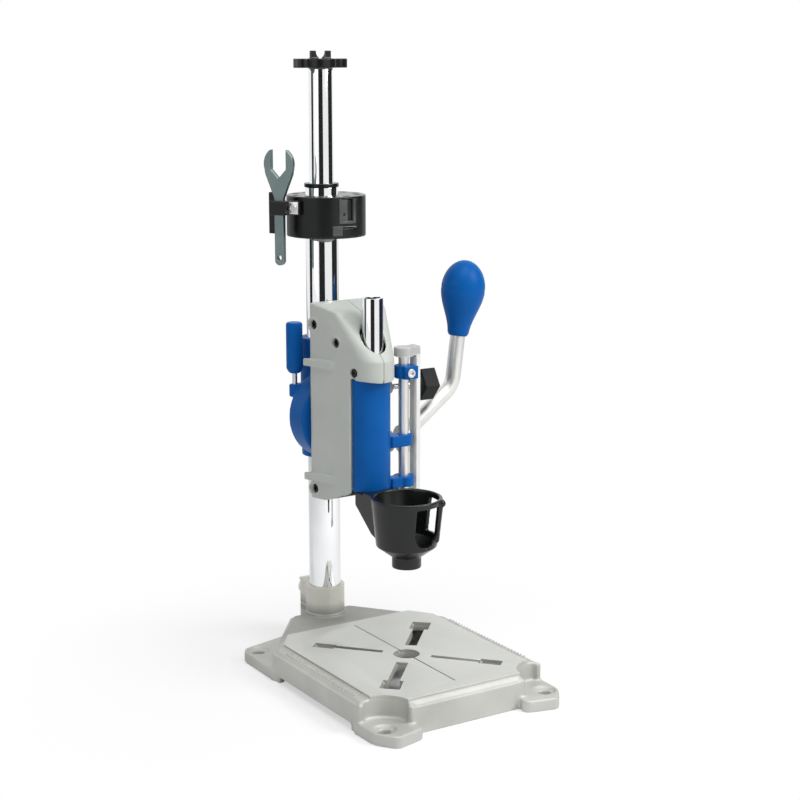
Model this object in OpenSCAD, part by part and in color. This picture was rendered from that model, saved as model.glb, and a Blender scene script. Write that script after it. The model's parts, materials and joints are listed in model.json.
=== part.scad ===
// Bench drill stand for a hand-held rotary tool.
// The origin is the centre of the four bench bolts on the bench plane, with the front towards -Y.

/* [Base] */
// Bench bolt spacing across the base
bolt_x = 140; // [120:1:160]
// Bench bolt spacing from front to rear
bolt_y = 190; // [170:1:210]
// Bench bolt hole diameter
bolt_hole_d = 9; // [6:0.5:11]
// Width of the base body
base_w = 160; // [150:1:180]
// Height of the milled work plate
plate_z = 26; // [22:1:32]
// Height of the feet
foot_z = 9; // [6:0.5:12]
// Wall of the hollow base
base_wall = 5; // [3:0.5:8]
// Diameter of the work hole
work_hole_d = 20; // [10:1:26]
// Distance from the rear bolts to the post
post_back = 15; // [12:1:24]
// Outer diameter of the post socket
socket_d = 31.5; // [30:0.5:40]
// Height of the post socket
socket_top = 48.5; // [40:0.5:60]

/* [Post and mast] */
// Outer diameter of the lower post
post_d = 25.4; // [24:0.1:26]
// Wall of the lower post
post_wall = 1.6; // [1:0.1:2]
// Height of the top of the lower post
post_top = 371; // [368:1:390]
// Outer diameter of the mast tube
mast_d = 19.05; // [16:0.05:19.5]
// Wall of the mast tube
mast_wall = 1.5; // [1:0.1:2]
// Length of the mast tube
mast_len = 200; // [180:1:210]
// Height of the top of the mast tube
mast_top = 462; // [450:1:480]
// Width of the tool hanger
hanger_w = 43; // [40:1:56]

/* [Accessory ring] */
// Diameter of the accessory holder
holder_d = 62; // [58:1:66]
// Height of the accessory holder
holder_h = 32; // [28:1:34]
// Height of the underside of the accessory holder
holder_z = 333; // [332:1:336]
// Jaw opening of the wrench
wrench_jaw = 13.5; // [10:0.5:15]
// Thickness of the wrench
wrench_t = 4; // [3:0.5:5]

/* [Column clamp] */
// Outer diameter of the clamp sleeve
clamp_d = 36; // [34:0.5:38]
// Height of the underside of the clamp sleeve
clamp_z = 167; // [164:1:170]
// Height of the top of the clamp sleeve
clamp_top = 253; // [240:1:260]
// Diameter of the turntable drum
turntable_d = 72; // [64:1:74]
// Height of the tilt axis
tilt_z = 193; // [190:1:196]
// Diameter of the lock grip
grip_d = 13; // [10:0.5:14]

/* [Head] */
// Distance from the post to the guide tube
guide_reach = 76; // [74:1:78]
// Distance from the guide tube to the tool axis
tool_reach = 48; // [46:1:52]
// Width of the housing at the rear
housing_w = 62; // [58:1:66]
// Diameter of the housing nose round the guide tube
nose_d = 32.8; // [32:0.2:36]
// Height of the underside of the housing
housing_z = 133; // [130:1:136]
// Height of the housing above the carriage sleeve
housing_rise = 54; // [50:1:58]
// Wall of the housing
housing_wall = 2.5; // [2:0.1:2.8]
// Outer diameter of the guide tube
guide_d = 16; // [14:0.5:16.5]
// Wall of the guide tube
guide_wall = 2; // [1:0.1:3]
// Height of the guide tube above the carriage sleeve
guide_rise = 61; // [53:1:66]

/* [Carriage] */
// Width of the carriage sleeve
sleeve_w = 32; // [31:0.5:34]
// Height of the underside of the carriage sleeve
sleeve_z = 144; // [142:1:145]
// Length of the carriage sleeve
sleeve_h = 88; // [85:1:88]
// Travel of the carriage
stroke = 50; // [40:1:50]
// Diameter of the depth rod
rod_d = 8; // [6:0.5:9]
// Distance of the depth rod from the middle plane
rod_x = 27.7; // [27:0.1:29]
// Outer diameter of the tool cup at its rim
cup_d = 54; // [50:1:58]
// Height of the rim of the tool cup
cup_top = 149; // [145:1:152]
// Thread diameter of the rotary tool
tool_thread_d = 19; // [15:0.5:20]

/* [Feed] */
// Module of the feed gear
gear_module = 1.5; // [1.5:0.05:1.55]
// Number of teeth of the feed gear
gear_teeth = 24; // [22:1:24]
// Diameter of the feed shaft
shaft_d = 8; // [6:0.5:9]
// Height of the feed shaft
shaft_z = 175; // [172:1:178]
// Diameter of the lever rod
lever_d = 12; // [9:0.5:13]
// Distance of the lever bend from the middle plane
lever_reach = 87.4; // [84:0.2:92]
// Rise of the lever bend above the shaft
lever_rise = 38; // [34:1:42]
// Rise of the knob above the lever bend
knob_rise = 40; // [36:1:44]
// Sideways lean of the lever between its bend and the knob
lever_lean = 5.2; // [3:0.2:8]
// Diameter of the lever knob
knob_d = 35; // [28:1:38]
// Length of the lever knob
knob_len = 60; // [50:1:64]

/* [Hidden] */
$fn = 64;

// Radial clearance of a running fit
fit = 0.05;
// Clearance between faces that pass each other
gap = 0.3;
// Overshoot of a cut past a face
past = 1;

// Shared places
post_y = bolt_y / 2 + post_back;
post_r = post_d / 2;
mast_r = mast_d / 2;
guide_r = guide_d / 2;
guide_y = post_y - guide_reach;
tool_y = guide_y - tool_reach;

// Base
bolt_half_x = bolt_x / 2;
bolt_half_y = bolt_y / 2;
base_front = -bolt_half_y - 3;
base_side_back = 58;
base_side_end = post_y - base_side_back;
base_tail_y = post_y + 9;
base_tail_w = 56;
rim_z = plate_z - 5;
deck_z = plate_z - 2.5;
rim_in = 3;
skin = 8;
foot_r = 11;
toe_r = 6;
tip_in = 2.6;
tip_out = 12.2;
toe_in = 20;
toe_out = 5;
toe_side = 4;
scoop_r = 21;
dish_r = 8.5;
dish_depth = 2;
plate_in = 11;
plate_front = 5;
plate_back = 38;
plate_rear = post_y - plate_back;
plate_corner = 13;
socket_seat = 6;
boss_w = 17;
boss_back = 28;
boss_top = socket_top - 0.7;
set_screw_r = 4;
set_head_r = 6.5;
set_head_h = 6;
set_screw_z = (deck_z + boss_top) / 2 + 2;
slot_angle = 48;
slot_in = 19;
slot_neck = 57;
slot_out = 74;
wide_slot = 9;
wide_pocket = 15;
narrow_slot = 5;
narrow_pocket = 9.5;
groove_w = 1.2;
groove_depth = 1;
groove_front = -80;
groove_rear = plate_rear - 9;
relief_z = 5;
relief_front = -66;
relief_rear = base_side_end - 10;

// Post bush and mast
bush_flange_h = 3;
bush_flange = 0.8;
bush_depth = 20;
ear = 1.6;
mast_foot = mast_top - mast_len;
hanger_h = 7;
hanger_flange = 3;
hanger_end_r = 6;
hanger_bar = 9;
horn_h = 13;
horn_w = 17;
horn_d = 4;
notch_r = 4.6;
plug_h = 14;
hanger_screw_r = 2;
hanger_head_r = 3;
notch_z0 = horn_h - 1;
hanger_head_h = 2;
hanger_seat = hanger_h - hanger_head_h - 1;

// Accessory ring
holder_r = holder_d / 2;
holder_shift = 4;
holder_top = holder_z + holder_h;
pocket_r = 2.6;
pocket_ring = holder_r - 6;
pocket_count = 10;
pocket_depth = 12;
pocket_phase = 0.75;
panel_w = 15;
panel_in = 2.5;
panel_x = holder_shift - 4;
panel_foot = 8;
panel_head = 2;
lock_screw_r = 3;
lock_head_r = 7;
lock_head_h = 8;
holder_back = sqrt(holder_r * holder_r - holder_shift * holder_shift) + 0.5;
clip_turn = -60;
wrench_u = -17.9;
wrench_back = -31;
wrench_front = wrench_back - wrench_t;
shank_w = 8;
head_r = wrench_jaw / 2 + 6.2;
head_z = 390;
jaw_step_z = head_z - 4;
jaw_root_z = head_z - 11;
cheek_half = 0.975 * head_r;
cheek_z = head_z - 2.4;
flare_half = 0.9 * head_r;
flare_z1 = head_z - 8;
flare_z0 = head_z - 26;
wrench_foot = 316;
wrench_eye_r = 2;
clip_t = 2.7;
clip_out = 7.2;
clip_back = wrench_back + gap;
clip_front = wrench_front - gap;
clip_left = wrench_u - shank_w / 2 - gap;
clip_right = wrench_u + shank_w / 2 + gap;
strap_z0 = holder_top - 14;
strap_z1 = holder_top - 3;
clip_z0 = holder_z + 3;
clip_z1 = holder_top + 3;
clip_foot_u = -7;
clip_foot_w = 10;
clip_screw_z = (strap_z0 + strap_z1) / 2;
clip_screw_r = 1.6;
clip_head_r = 3;
clip_head_h = 2;
clip_screw_end = -post_r - 6;

// Column clamp
clamp_r = clamp_d / 2;
collar_h = 9;
collar_z1 = clamp_z - gap;
collar_z0 = collar_z1 - collar_h;
collar_r = 17.5;
grub_r = 2.5;
grub_socket_r = 1.3;
grub_socket = 2;
collar_mid = (collar_z0 + collar_z1) / 2;
turntable_r = turntable_d / 2;
rear_y = post_y - post_r - 18.3;
turntable_front = rear_y + gap;
turntable_back = post_y - 8;
bolt_r = 4;
bolt_head_r = 6.5;
bolt_head_h = 4.6;
washer_t = 1.3;
bolt_seat = rear_y - housing_wall - gap;
bolt_end = post_y - post_r - 2.3;
grip_r = grip_d / 2;
grip_x = -28;
grip_y = post_y - 4;
grip_z0 = 227;
grip_z1 = 267;
grip_foot = 3;
grip_crown = 1;
pin_z1 = grip_z1 - 4;
pin_r = 2;
pin_z0 = 211;
lug_r = 4.5;
lug_z1 = 218;
lug_z0 = pin_z0 - 3;
lug_web = 4;

// Housing
sleeve_top = sleeve_z + sleeve_h;
housing_top = sleeve_top + housing_rise;
guide_top = sleeve_top + guide_rise;
housing_half = housing_w / 2;
nose_r = nose_d / 2;
corner_r = 5;
flank_dx = housing_half - corner_r;
flank_dy = rear_y - corner_r - guide_y;
flank_face = asin((nose_r - corner_r) / norm([flank_dx, flank_dy])) - atan2(flank_dx, flank_dy);
nose_top = sleeve_top + 14;
mid_y = guide_y + 21;
mid_x = 19.5;
mid_r = 4;
mid_top = housing_top - 5;
front_y = guide_y + 4.5;
mouth_z = sleeve_top + gap;
tube_hole_r = guide_r + 2;
wedge_y = rear_y - 17;
wedge_rise = 9;
column_r = 5;
case_screws = [[rear_y - 7, housing_top - 16], [guide_y + 17, housing_top - 28],
    [rear_y - 7, housing_z + 8]];
case_screw_r = 1.9;
case_head_r = 3.2;
case_head_h = 2.4;
recess_r = 3.6;
recess_floor = 16;
case_screw_len = 28;
hook_z = [sleeve_top + 8.5, housing_z + 17.5];
hook_h = 6;
hook_out = 3;
hook_y = guide_y + 17;
bush_z0 = mouth_z + 0.1;
bush_z1 = bush_z0 + 8.6;
bush_top = bush_z1 + 5;
bush_r = nose_r - housing_wall - 0.1;
bush_screw_z = (bush_z0 + bush_z1) / 2;
bush_screw_seat = nose_r - 1;
bush_screw_len = 5;
bush_head_h = 1.6;

// Feed gear and rack
gear_r = gear_module * gear_teeth / 2;
gear_tip = gear_r + gear_module;
gear_root = gear_r - 1.25 * gear_module;
gear_base = gear_r * cos(20);
tooth_pitch = PI * gear_module;
backlash = 0.25;
rack_pitch_y = guide_y + 4;
rack_root_y = rack_pitch_y - 1.25 * gear_module;
rack_tip_y = rack_pitch_y + gear_module;
rack_back_y = guide_y - 1.4;
rack_x0 = guide_r + 0.8;
rack_x1 = rack_x0 + 3.7;
gear_x0 = rack_x0 + 0.1;
gear_x1 = rack_x1 - 0.1;
shaft_r = shaft_d / 2;
shaft_y = rack_pitch_y + gear_r;
shaft_boss_r = shaft_r + 5;
shaft_bush_r = shaft_r + 2;
boss_x0 = 14;
hub_r = lever_d / 2 + 5;
boss_x1 = flank(shaft_y + hub_r);
left_boss_x0 = -22;
left_boss_x1 = -15;
left_bush_x1 = -1;
shaft_x0 = left_boss_x0 + 1;
hub_gap = 9.1;
hub_x0 = boss_x1 + hub_gap;
hub_x1 = hub_x0 + 13;
hub_chamfer = 2;
shaft_seat = 5;
hub_screw_r = 1.5;
hub_screw_x = hub_x0 + 3;
gear_hub_r = shaft_r + 3;
gear_hub_x0 = 1;
spring_wire = 1.6;
spring_r = shaft_bush_r + spring_wire / 2 + 0.5;
spring_turns = 4;
spring_pitch = 2.6;
spring_x0 = left_boss_x1 + spring_wire / 2 + 0.5;

// Lever
lever_sink = 8.6;
lever_lift = 3.5;
lever_start = [hub_x1 - lever_sink, shaft_z + lever_lift];
lever_bend = [lever_reach, shaft_z + lever_rise];
lever_end = [lever_reach + lever_lean, shaft_z + lever_rise + knob_rise];
lever_bend_r = 20;
bend_swell = 0.06;
lever_turn_in = atan2(lever_bend[1] - lever_start[1], lever_bend[0] - lever_start[0]);
lever_turn_out = atan2(lever_end[1] - lever_bend[1], lever_end[0] - lever_bend[0]);
lever_tangent = lever_bend_r * tan((lever_turn_out - lever_turn_in) / 2);
knob_r = knob_d / 2;
knob_neck_r = lever_d / 2 + 2.4;
knob_wide = 0.62 * knob_len;
knob_seat = 12;
knob_chamfer = 0.5;

// Depth rail, rod and stop
rod_r = rod_d / 2;
rail_x0 = rod_x + rod_r + 5.8;
rail_x1 = rail_x0 + 3.7;
rail_y0 = guide_y - 3;
rail_y1 = guide_y + 7;
rail_top = sleeve_top + 21;
cap_h = 7;
lug_h = 6;
rod_lug_r = rod_r + 3.5;
lug_in = 2;
rod_top = rail_top - 2;
rail_z0 = sleeve_z - stroke - lug_h - 1;
rod_z0 = rail_z0 + 2;
ear_y = guide_y + 12;
ear_z = [sleeve_top, housing_z + 5];
ear_r = 4;
rail_screw_r = 1.6;
rail_screw_len = 12;
rail_head_r = 3;
rail_head_h = 2;
mid_arm_h = 9;
mid_arm_drop = 56;
mid_arm = [sleeve_top - mid_arm_drop, sleeve_top - mid_arm_drop + mid_arm_h];
low_arm = [sleeve_z, sleeve_z + 8];
arm_r = rod_r + 2.6;
low_arm_r = rod_r + 4.2;
stop_z = sleeve_top + 2;
stop_h = 10;
stop_r = rod_r + 3.2;
stop_y0 = guide_y - 9.5;
stop_left = 4.5;
stop_right = 7.5;
stop_screw_r = 2;
stop_head_r = 3.4;
stop_head_h = 2.4;

// Carriage
sleeve_half = sleeve_w / 2;
sleeve_back = front_y - gap;
sleeve_depth = 14.2;
sleeve_front = sleeve_back - sleeve_depth;
sleeve_wall = 2.6;
sleeve_tail = 5;
tail_x0 = -13;
tail_x1 = guide_r;
block_h = 10;
rack_screw_y = guide_y + 0.4;
rack_screw_r = 1.2;
rack_screw_x1 = rack_x1 + 2;
rack_screw_z = [sleeve_z + 5, sleeve_top - 5];
cup_r = cup_d / 2;
cup_wall = 2.5;
cup_taper = 4;
cup_depth = 37;
cup_floor = cup_top - cup_depth;
cup_shoulder = cup_floor - 8;
cup_base = 3;
cup_step = 1;
cup_drop = 54;
cup_nose_z = cup_top - cup_drop;
cup_nose_r = tool_thread_d / 2 + 1.6;
neck_half = 15.5;
neck_y1 = guide_y + 1.5;
neck_lip = 10;
neck_drop = 4;
neck_top = cup_top - 3;
side_window_turn = -15;
front_window_turn = -80;
strap_turn = -47.5;
strap_half = 2;
strap_foot = cup_floor + 4;
strap_proud = 1.5;
window_half = 11;
window_foot = cup_floor + 7;
window_top = cup_top - 4.5;
arch_z = cup_top - 24;
cup_screw_x = 10;
cup_screw_y = guide_y - 3.5;
cup_screw_r = 1.6;
cup_head_r = 3.1;
cup_head_h = 2.4;
cup_screw_seat = sleeve_z - neck_lip + 1.5;
cup_screw_end = sleeve_z + 8;

// Carriage lock
lock_y = guide_y + 12.5;
lock_z = sleeve_top - 12;
lock_stud_r = 2.2;
lock_boss_r = 5.2;
lock_boss_x1 = flank(lock_y) + 1.8;
lock_x0 = rail_x1 + 4.1;
lock_x1 = lock_x0 + 16;
lock_foot = 3;
lock_stud_x0 = boss_x0;
lock_stud_x1 = lock_x1 - 4;
lock_sides = 5;
lock_phase = 40;
lock_foot_r = 9;
lock_r = 13.5;

module z_rod(r, z0, z1, x = 0, y = 0) {
    translate([x, y, z0]) cylinder(r = r, h = z1 - z0);
}

module x_rod(r, x0, x1, y, z) {
    translate([x0, y, z]) rotate([0, 90, 0]) cylinder(r = r, h = x1 - x0);
}

module y_rod(r, y0, y1, x, z) {
    translate([x, y1, z]) rotate([90, 0, 0]) cylinder(r = r, h = y1 - y0);
}

module block(x0, x1, y0, y1, z0, z1) {
    translate([x0, y0, z0]) cube([x1 - x0, y1 - y0, z1 - z0]);
}

// Screw along Z, its shank below zero and its socket head above
module screw(shank_r, length, screw_head_r, head_h) {
    difference() {
        union() {
            translate([0, 0, -length]) cylinder(r = shank_r, h = length);
            cylinder(r = screw_head_r, h = head_h);
        }
        translate([0, 0, head_h * 0.4]) cylinder(r = screw_head_r * 0.55, h = head_h, $fn = 6);
    }
}

// Outline of the base body, drawn in by an inset
function base_outline(inset) = [
    [-base_w / 2 + inset, base_front + inset],
    [base_w / 2 - inset, base_front + inset],
    [base_w / 2 - inset, base_side_end - inset * 0.4],
    [base_tail_w / 2 - inset * 0.6, base_tail_y - inset],
    [-base_tail_w / 2 + inset * 0.6, base_tail_y - inset],
    [-base_w / 2 + inset, base_side_end - inset * 0.4]];

// Outline of the milled plate, with cut corners
plate_w = base_w / 2 - plate_in;
plate_y0 = base_front + plate_front;
plate_side = plate_rear - 1.4 * plate_corner;
function plate_outline() = [
    [-plate_w + plate_corner, plate_y0], [plate_w - plate_corner, plate_y0],
    [plate_w, plate_y0 + plate_corner], [plate_w, plate_side],
    [plate_w - plate_corner, plate_rear], [-plate_w + plate_corner, plate_rear],
    [-plate_w, plate_side], [-plate_w, plate_y0 + plate_corner]];

module front_feet_columns(r, z0, z1) {
    for (side = [-1, 1]) z_rod(r, z0, z1, side * bolt_half_x, -bolt_half_y);
}

module foot_disc(r, x, y) {
    translate([x, y]) circle(r = r, $fn = 32);
}

module foot_pads() {
    for (side = [-1, 1]) {
        linear_extrude(foot_z) hull() {
            foot_disc(foot_r, side * bolt_half_x, -bolt_half_y);
            foot_disc(toe_r, side * (bolt_half_x - tip_in), -bolt_half_y - tip_out);
            foot_disc(toe_r, side * (bolt_half_x - toe_in), base_front - toe_out);
            foot_disc(toe_r, side * (base_w / 2 - toe_side), -bolt_half_y + toe_in);
        }
        linear_extrude(foot_z) hull() {
            foot_disc(foot_r, side * bolt_half_x, bolt_half_y);
            foot_disc(toe_r, side * (base_w / 2 - toe_side), base_side_end);
            foot_disc(toe_r, side * base_tail_w / 2, base_tail_y - toe_r - 2);
        }
    }
}

module slot_pair(slot_w, pocket_w) {
    for (turn = [0, 180]) rotate([0, 0, turn]) {
        block(slot_in, slot_neck + past, -slot_w / 2, slot_w / 2, 0, plate_z + past);
        block(slot_neck, slot_out, -pocket_w / 2, pocket_w / 2, 0, plate_z + past);
    }
}

module base_casting() color("silver") difference() {
    union() {
        difference() {
            union() {
                linear_extrude(rim_z) polygon(base_outline(0));
                linear_extrude(deck_z) polygon(base_outline(rim_in));
                linear_extrude(plate_z) polygon(plate_outline());
            }
            difference() {
                translate([0, 0, -past]) linear_extrude(plate_z - skin + past)
                    polygon(base_outline(base_wall));
                z_rod(socket_d / 2, -past, plate_z, 0, post_y);
                front_feet_columns(scoop_r + base_wall, -past, plate_z);
            }
            front_feet_columns(scoop_r, foot_z, plate_z + past);
            for (side = [-1, 1])
                translate([side * base_w / 2, 0, 0])
                    block(-base_wall - past, base_wall, relief_front, relief_rear, -past, relief_z);
        }
        foot_pads();
        z_rod(socket_d / 2, 0, socket_top, 0, post_y);
        block(-boss_w / 2, boss_w / 2, post_y, post_y + boss_back, rim_z - skin, boss_top);
    }
    z_rod(post_r + fit, socket_seat, socket_top + past, 0, post_y);
    y_rod(set_screw_r + fit, post_y, post_y + boss_back + past, 0, set_screw_z);
    for (x = [-bolt_half_x, bolt_half_x], y = [-bolt_half_y, bolt_half_y]) {
        z_rod(bolt_hole_d / 2, -past, foot_z + past, x, y);
        z_rod(dish_r, foot_z - dish_depth, foot_z + past, x, y);
    }
    translate([0, tool_y, 0]) {
        z_rod(work_hole_d / 2, -past, plate_z + past);
        rotate([0, 0, slot_angle]) slot_pair(wide_slot, wide_pocket);
        rotate([0, 0, -slot_angle]) slot_pair(narrow_slot, narrow_pocket);
    }
    block(-groove_w / 2, groove_w / 2, groove_front, groove_rear, plate_z - groove_depth, plate_z + past);
}

module post_set_screw() color("dimgray")
    translate([0, post_y + boss_back, set_screw_z]) rotate([-90, 0, 0])
        screw(set_screw_r, boss_back - post_r - fit, set_head_r, set_head_h);

module lower_post() color("gainsboro") difference() {
    z_rod(post_r, socket_seat, post_top, 0, post_y);
    z_rod(post_r - post_wall, socket_seat - past, post_top + past, 0, post_y);
}

module post_bush() color("black") translate([0, post_y, 0]) difference() {
    union() {
        z_rod(post_r + bush_flange, post_top, post_top + bush_flange_h);
        z_rod(post_r - post_wall - fit, post_top - bush_depth, post_top);
        block(-post_r - ear, post_r + ear, -ear, ear, post_top, post_top + bush_flange_h);
    }
    z_rod(mast_r + fit, post_top - bush_depth - past, post_top + bush_flange_h + past);
}

module upper_post() color("gainsboro") difference() {
    z_rod(mast_r, mast_foot, mast_top, 0, post_y);
    z_rod(mast_r - mast_wall, mast_foot - past, mast_top + past, 0, post_y);
}

module tool_hanger() color("black") translate([0, post_y, mast_top]) difference() {
    union() {
        z_rod(mast_r - mast_wall - fit, -plug_h, 0);
        z_rod(mast_r + hanger_flange, 0, hanger_h);
        block(-hanger_w / 2, hanger_w / 2, -hanger_bar / 2, hanger_bar / 2, 0, hanger_h);
        for (side = [-1, 1]) z_rod(hanger_end_r, 0, hanger_h, side * (hanger_w / 2 - hanger_end_r));
        block(-horn_w / 2, horn_w / 2, -horn_d / 2, horn_d / 2, 0, horn_h);
    }
    y_rod(notch_r, -hanger_bar, hanger_bar, 0, notch_z0);
    block(-notch_r, notch_r, -hanger_bar, hanger_bar, notch_z0, horn_h + past);
    z_rod(hanger_screw_r + fit, -plug_h - past, horn_h);
    z_rod(hanger_head_r + fit, hanger_seat, horn_h);
}

module hanger_screw() color("silver")
    translate([0, post_y, mast_top + hanger_seat])
        screw(hanger_screw_r, plug_h, hanger_head_r, hanger_head_h);

// Frame of the wrench clip: u along the clip, v out of it, about the post
module clip_frame() {
    translate([0, post_y, 0]) rotate([0, 0, clip_turn]) children();
}

module clip_screw_hole(r) {
    y_rod(r, clip_back - past, 0, clip_foot_u, clip_screw_z);
}

module accessory_holder() color("black") difference() {
    z_rod(holder_r, holder_z, holder_top, holder_shift, post_y);
    z_rod(post_r + fit, holder_z - past, holder_top + past, 0, post_y);
    for (i = [0:pocket_count - 1])
        translate([holder_shift, post_y, 0]) rotate([0, 0, (i + pocket_phase) * 360 / pocket_count])
            z_rod(pocket_r, holder_top - pocket_depth, holder_top + past, pocket_ring);
    block(panel_x, panel_x + panel_w, post_y - holder_d, post_y - holder_r + panel_in,
        holder_z + panel_foot, holder_top - panel_head);
    y_rod(lock_screw_r + fit, post_y, post_y + holder_d, 0, holder_z + holder_h / 2);
    clip_frame() intersection() {
        clip_screw_hole(clip_screw_r + fit);
        block(-holder_d, 0, -holder_d, clip_screw_end + fit, holder_z, holder_top);
    }
}

module holder_lock_screw() color("dimgray")
    translate([0, post_y + holder_back, holder_z + holder_h / 2]) rotate([-90, 0, 0])
        screw(lock_screw_r, holder_back - post_r - fit, lock_head_r, lock_head_h);

module wrench_clip() color("black") difference() {
    clip_frame() difference() {
        union() {
            block(clip_left - clip_out, wrench_u, clip_back, clip_back + clip_t, clip_z0, clip_z1);
            block(clip_left, clip_foot_u + clip_foot_w / 2, clip_back, clip_back + clip_t,
                strap_z0, strap_z1);
            block(clip_right, clip_right + clip_t, clip_front - clip_t, clip_back + clip_t,
                strap_z0, strap_z1);
            block(clip_left - clip_t, clip_left, clip_front - clip_t, clip_back + clip_t, strap_z0, strap_z1);
            block(clip_left - clip_t, clip_right + clip_t, clip_front - clip_t, clip_front,
                strap_z0, strap_z1);
            block(clip_foot_u - clip_foot_w / 2, clip_foot_u + clip_foot_w / 2, clip_back, -post_r,
                strap_z0, strap_z1);
        }
        clip_screw_hole(clip_screw_r + fit);
    }
    z_rod(holder_r + fit, holder_z - past, clip_z1 + past, holder_shift, post_y);
}

module clip_screw() color("silver")
    clip_frame() translate([clip_foot_u, clip_back, clip_screw_z]) rotate([90, 0, 0])
        screw(clip_screw_r, clip_screw_end - clip_back, clip_head_r, clip_head_h);

module collet_wrench() color("slategray")
    clip_frame() translate([wrench_u, wrench_back, 0]) rotate([90, 0, 0])
    linear_extrude(wrench_t) difference() {
        union() {
            translate([0, head_z]) circle(r = head_r);
            polygon([[-cheek_half, cheek_z], [-flare_half, flare_z1], [-shank_w / 2, flare_z0],
                [shank_w / 2, flare_z0], [flare_half, flare_z1], [cheek_half, cheek_z]]);
            translate([-shank_w / 2, wrench_foot]) square([shank_w, head_z - wrench_foot]);
            translate([0, wrench_foot]) circle(r = shank_w / 2);
        }
        polygon([[-wrench_jaw / 2, head_z + head_r + past], [-wrench_jaw / 2, jaw_step_z], [0, jaw_root_z],
            [wrench_jaw / 2, jaw_step_z], [wrench_jaw / 2, head_z + head_r + past]]);
        translate([0, wrench_foot + wrench_eye_r]) circle(r = wrench_eye_r);
    }

module support_collar() color("royalblue") difference() {
    z_rod(collar_r, collar_z0, collar_z1, 0, post_y);
    z_rod(post_r + fit, collar_z0 - past, collar_z1 + past, 0, post_y);
    y_rod(grub_r + fit, post_y, post_y + collar_r + past, 0, collar_mid);
}

module collar_screw() color("dimgray") difference() {
    y_rod(grub_r, post_y + post_r + fit, post_y + collar_r, 0, collar_mid);
    translate([0, post_y + collar_r - grub_socket, collar_mid]) rotate([-90, 0, 0])
        cylinder(r = grub_socket_r, h = grub_socket + past, $fn = 6);
}

module column_clamp() color("royalblue") difference() {
    union() {
        z_rod(clamp_r, clamp_z, clamp_top, 0, post_y);
        y_rod(turntable_r, turntable_front, turntable_back, 0, tilt_z);
        z_rod(lug_r, lug_z0, lug_z1, grip_x, grip_y);
        block(grip_x, 0, grip_y - lug_web, grip_y + lug_web, lug_z0, lug_z1);
    }
    z_rod(post_r + fit, clamp_z - turntable_r, clamp_top + past, 0, post_y);
    z_rod(collar_r + 2 * gap, clamp_z - turntable_r, clamp_z, 0, post_y);
    y_rod(bolt_r + fit, turntable_front - past, post_y, 0, tilt_z);
    z_rod(pin_r + fit, pin_z0, lug_z1 + past, grip_x, grip_y);
}

module tilt_bolt() color("silver")
    translate([0, bolt_seat - washer_t, tilt_z]) rotate([90, 0, 0])
        screw(bolt_r, bolt_end - bolt_seat + washer_t, bolt_head_r, bolt_head_h);

module tilt_washer() color("gray") difference() {
    y_rod(bolt_head_r + 1, bolt_seat - washer_t, bolt_seat, 0, tilt_z);
    y_rod(bolt_r + fit, bolt_seat - washer_t - past, bolt_seat + past, 0, tilt_z);
}

module lock_grip() color("royalblue") translate([grip_x, grip_y, 0]) difference() {
    union() {
        z_rod(grip_r, grip_z0 + grip_foot, grip_z1 - grip_crown);
        translate([0, 0, grip_z0]) cylinder(r1 = grip_r - 2, r2 = grip_r, h = grip_foot);
        translate([0, 0, grip_z1 - grip_crown])
            cylinder(r1 = grip_r, r2 = grip_r - grip_crown, h = grip_crown);
    }
    z_rod(pin_r + fit, grip_z0 - past, pin_z1);
}

module lock_pin() color("gainsboro") z_rod(pin_r, pin_z0, pin_z1, grip_x, grip_y);

// Solid of the housing, drawn in by an inset
module housing_form(inset) {
    hull() {
        for (side = [-1, 1]) {
            z_rod(corner_r - inset, housing_z + inset, housing_top - inset,
                side * (housing_half - corner_r), rear_y - corner_r, $fn = 32);
            z_rod(mid_r - inset, housing_z + inset, mid_top - inset, side * mid_x, mid_y, $fn = 32);
        }
        z_rod(nose_r - inset, housing_z + inset, nose_top - inset, 0, guide_y, $fn = 48);
    }
}

module housing_columns() {
    for (p = case_screws) x_rod(column_r, -housing_half, housing_half, p[0], p[1]);
    x_rod(shaft_boss_r, -housing_half, left_boss_x1, shaft_y, shaft_z);
}

// Half width of the housing's flank at a depth y
function flank(y) = (nose_r - sin(flank_face) * (y - guide_y)) / cos(flank_face);

module cord_hooks() {
    for (z = hook_z)
        translate([0, 0, z - hook_h / 2]) linear_extrude(hook_h)
            polygon([[-flank(hook_y), hook_y], [-flank(hook_y) - hook_out, hook_y + hook_out],
                [-flank(rear_y) - hook_out, rear_y], [-flank(rear_y), rear_y],
                [-flank(rear_y - corner_r) + 1, rear_y - corner_r], [-flank(hook_y) + 1, hook_y]]);
}

module right_bosses() {
    x_rod(shaft_boss_r, boss_x0, boss_x1, shaft_y, shaft_z);
    x_rod(lock_boss_r, boss_x0 + gap, lock_boss_x1, lock_y, lock_z);
    for (z = ear_z) x_rod(ear_r, boss_x0 + gap, rail_x0, ear_y, z);
}

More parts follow.
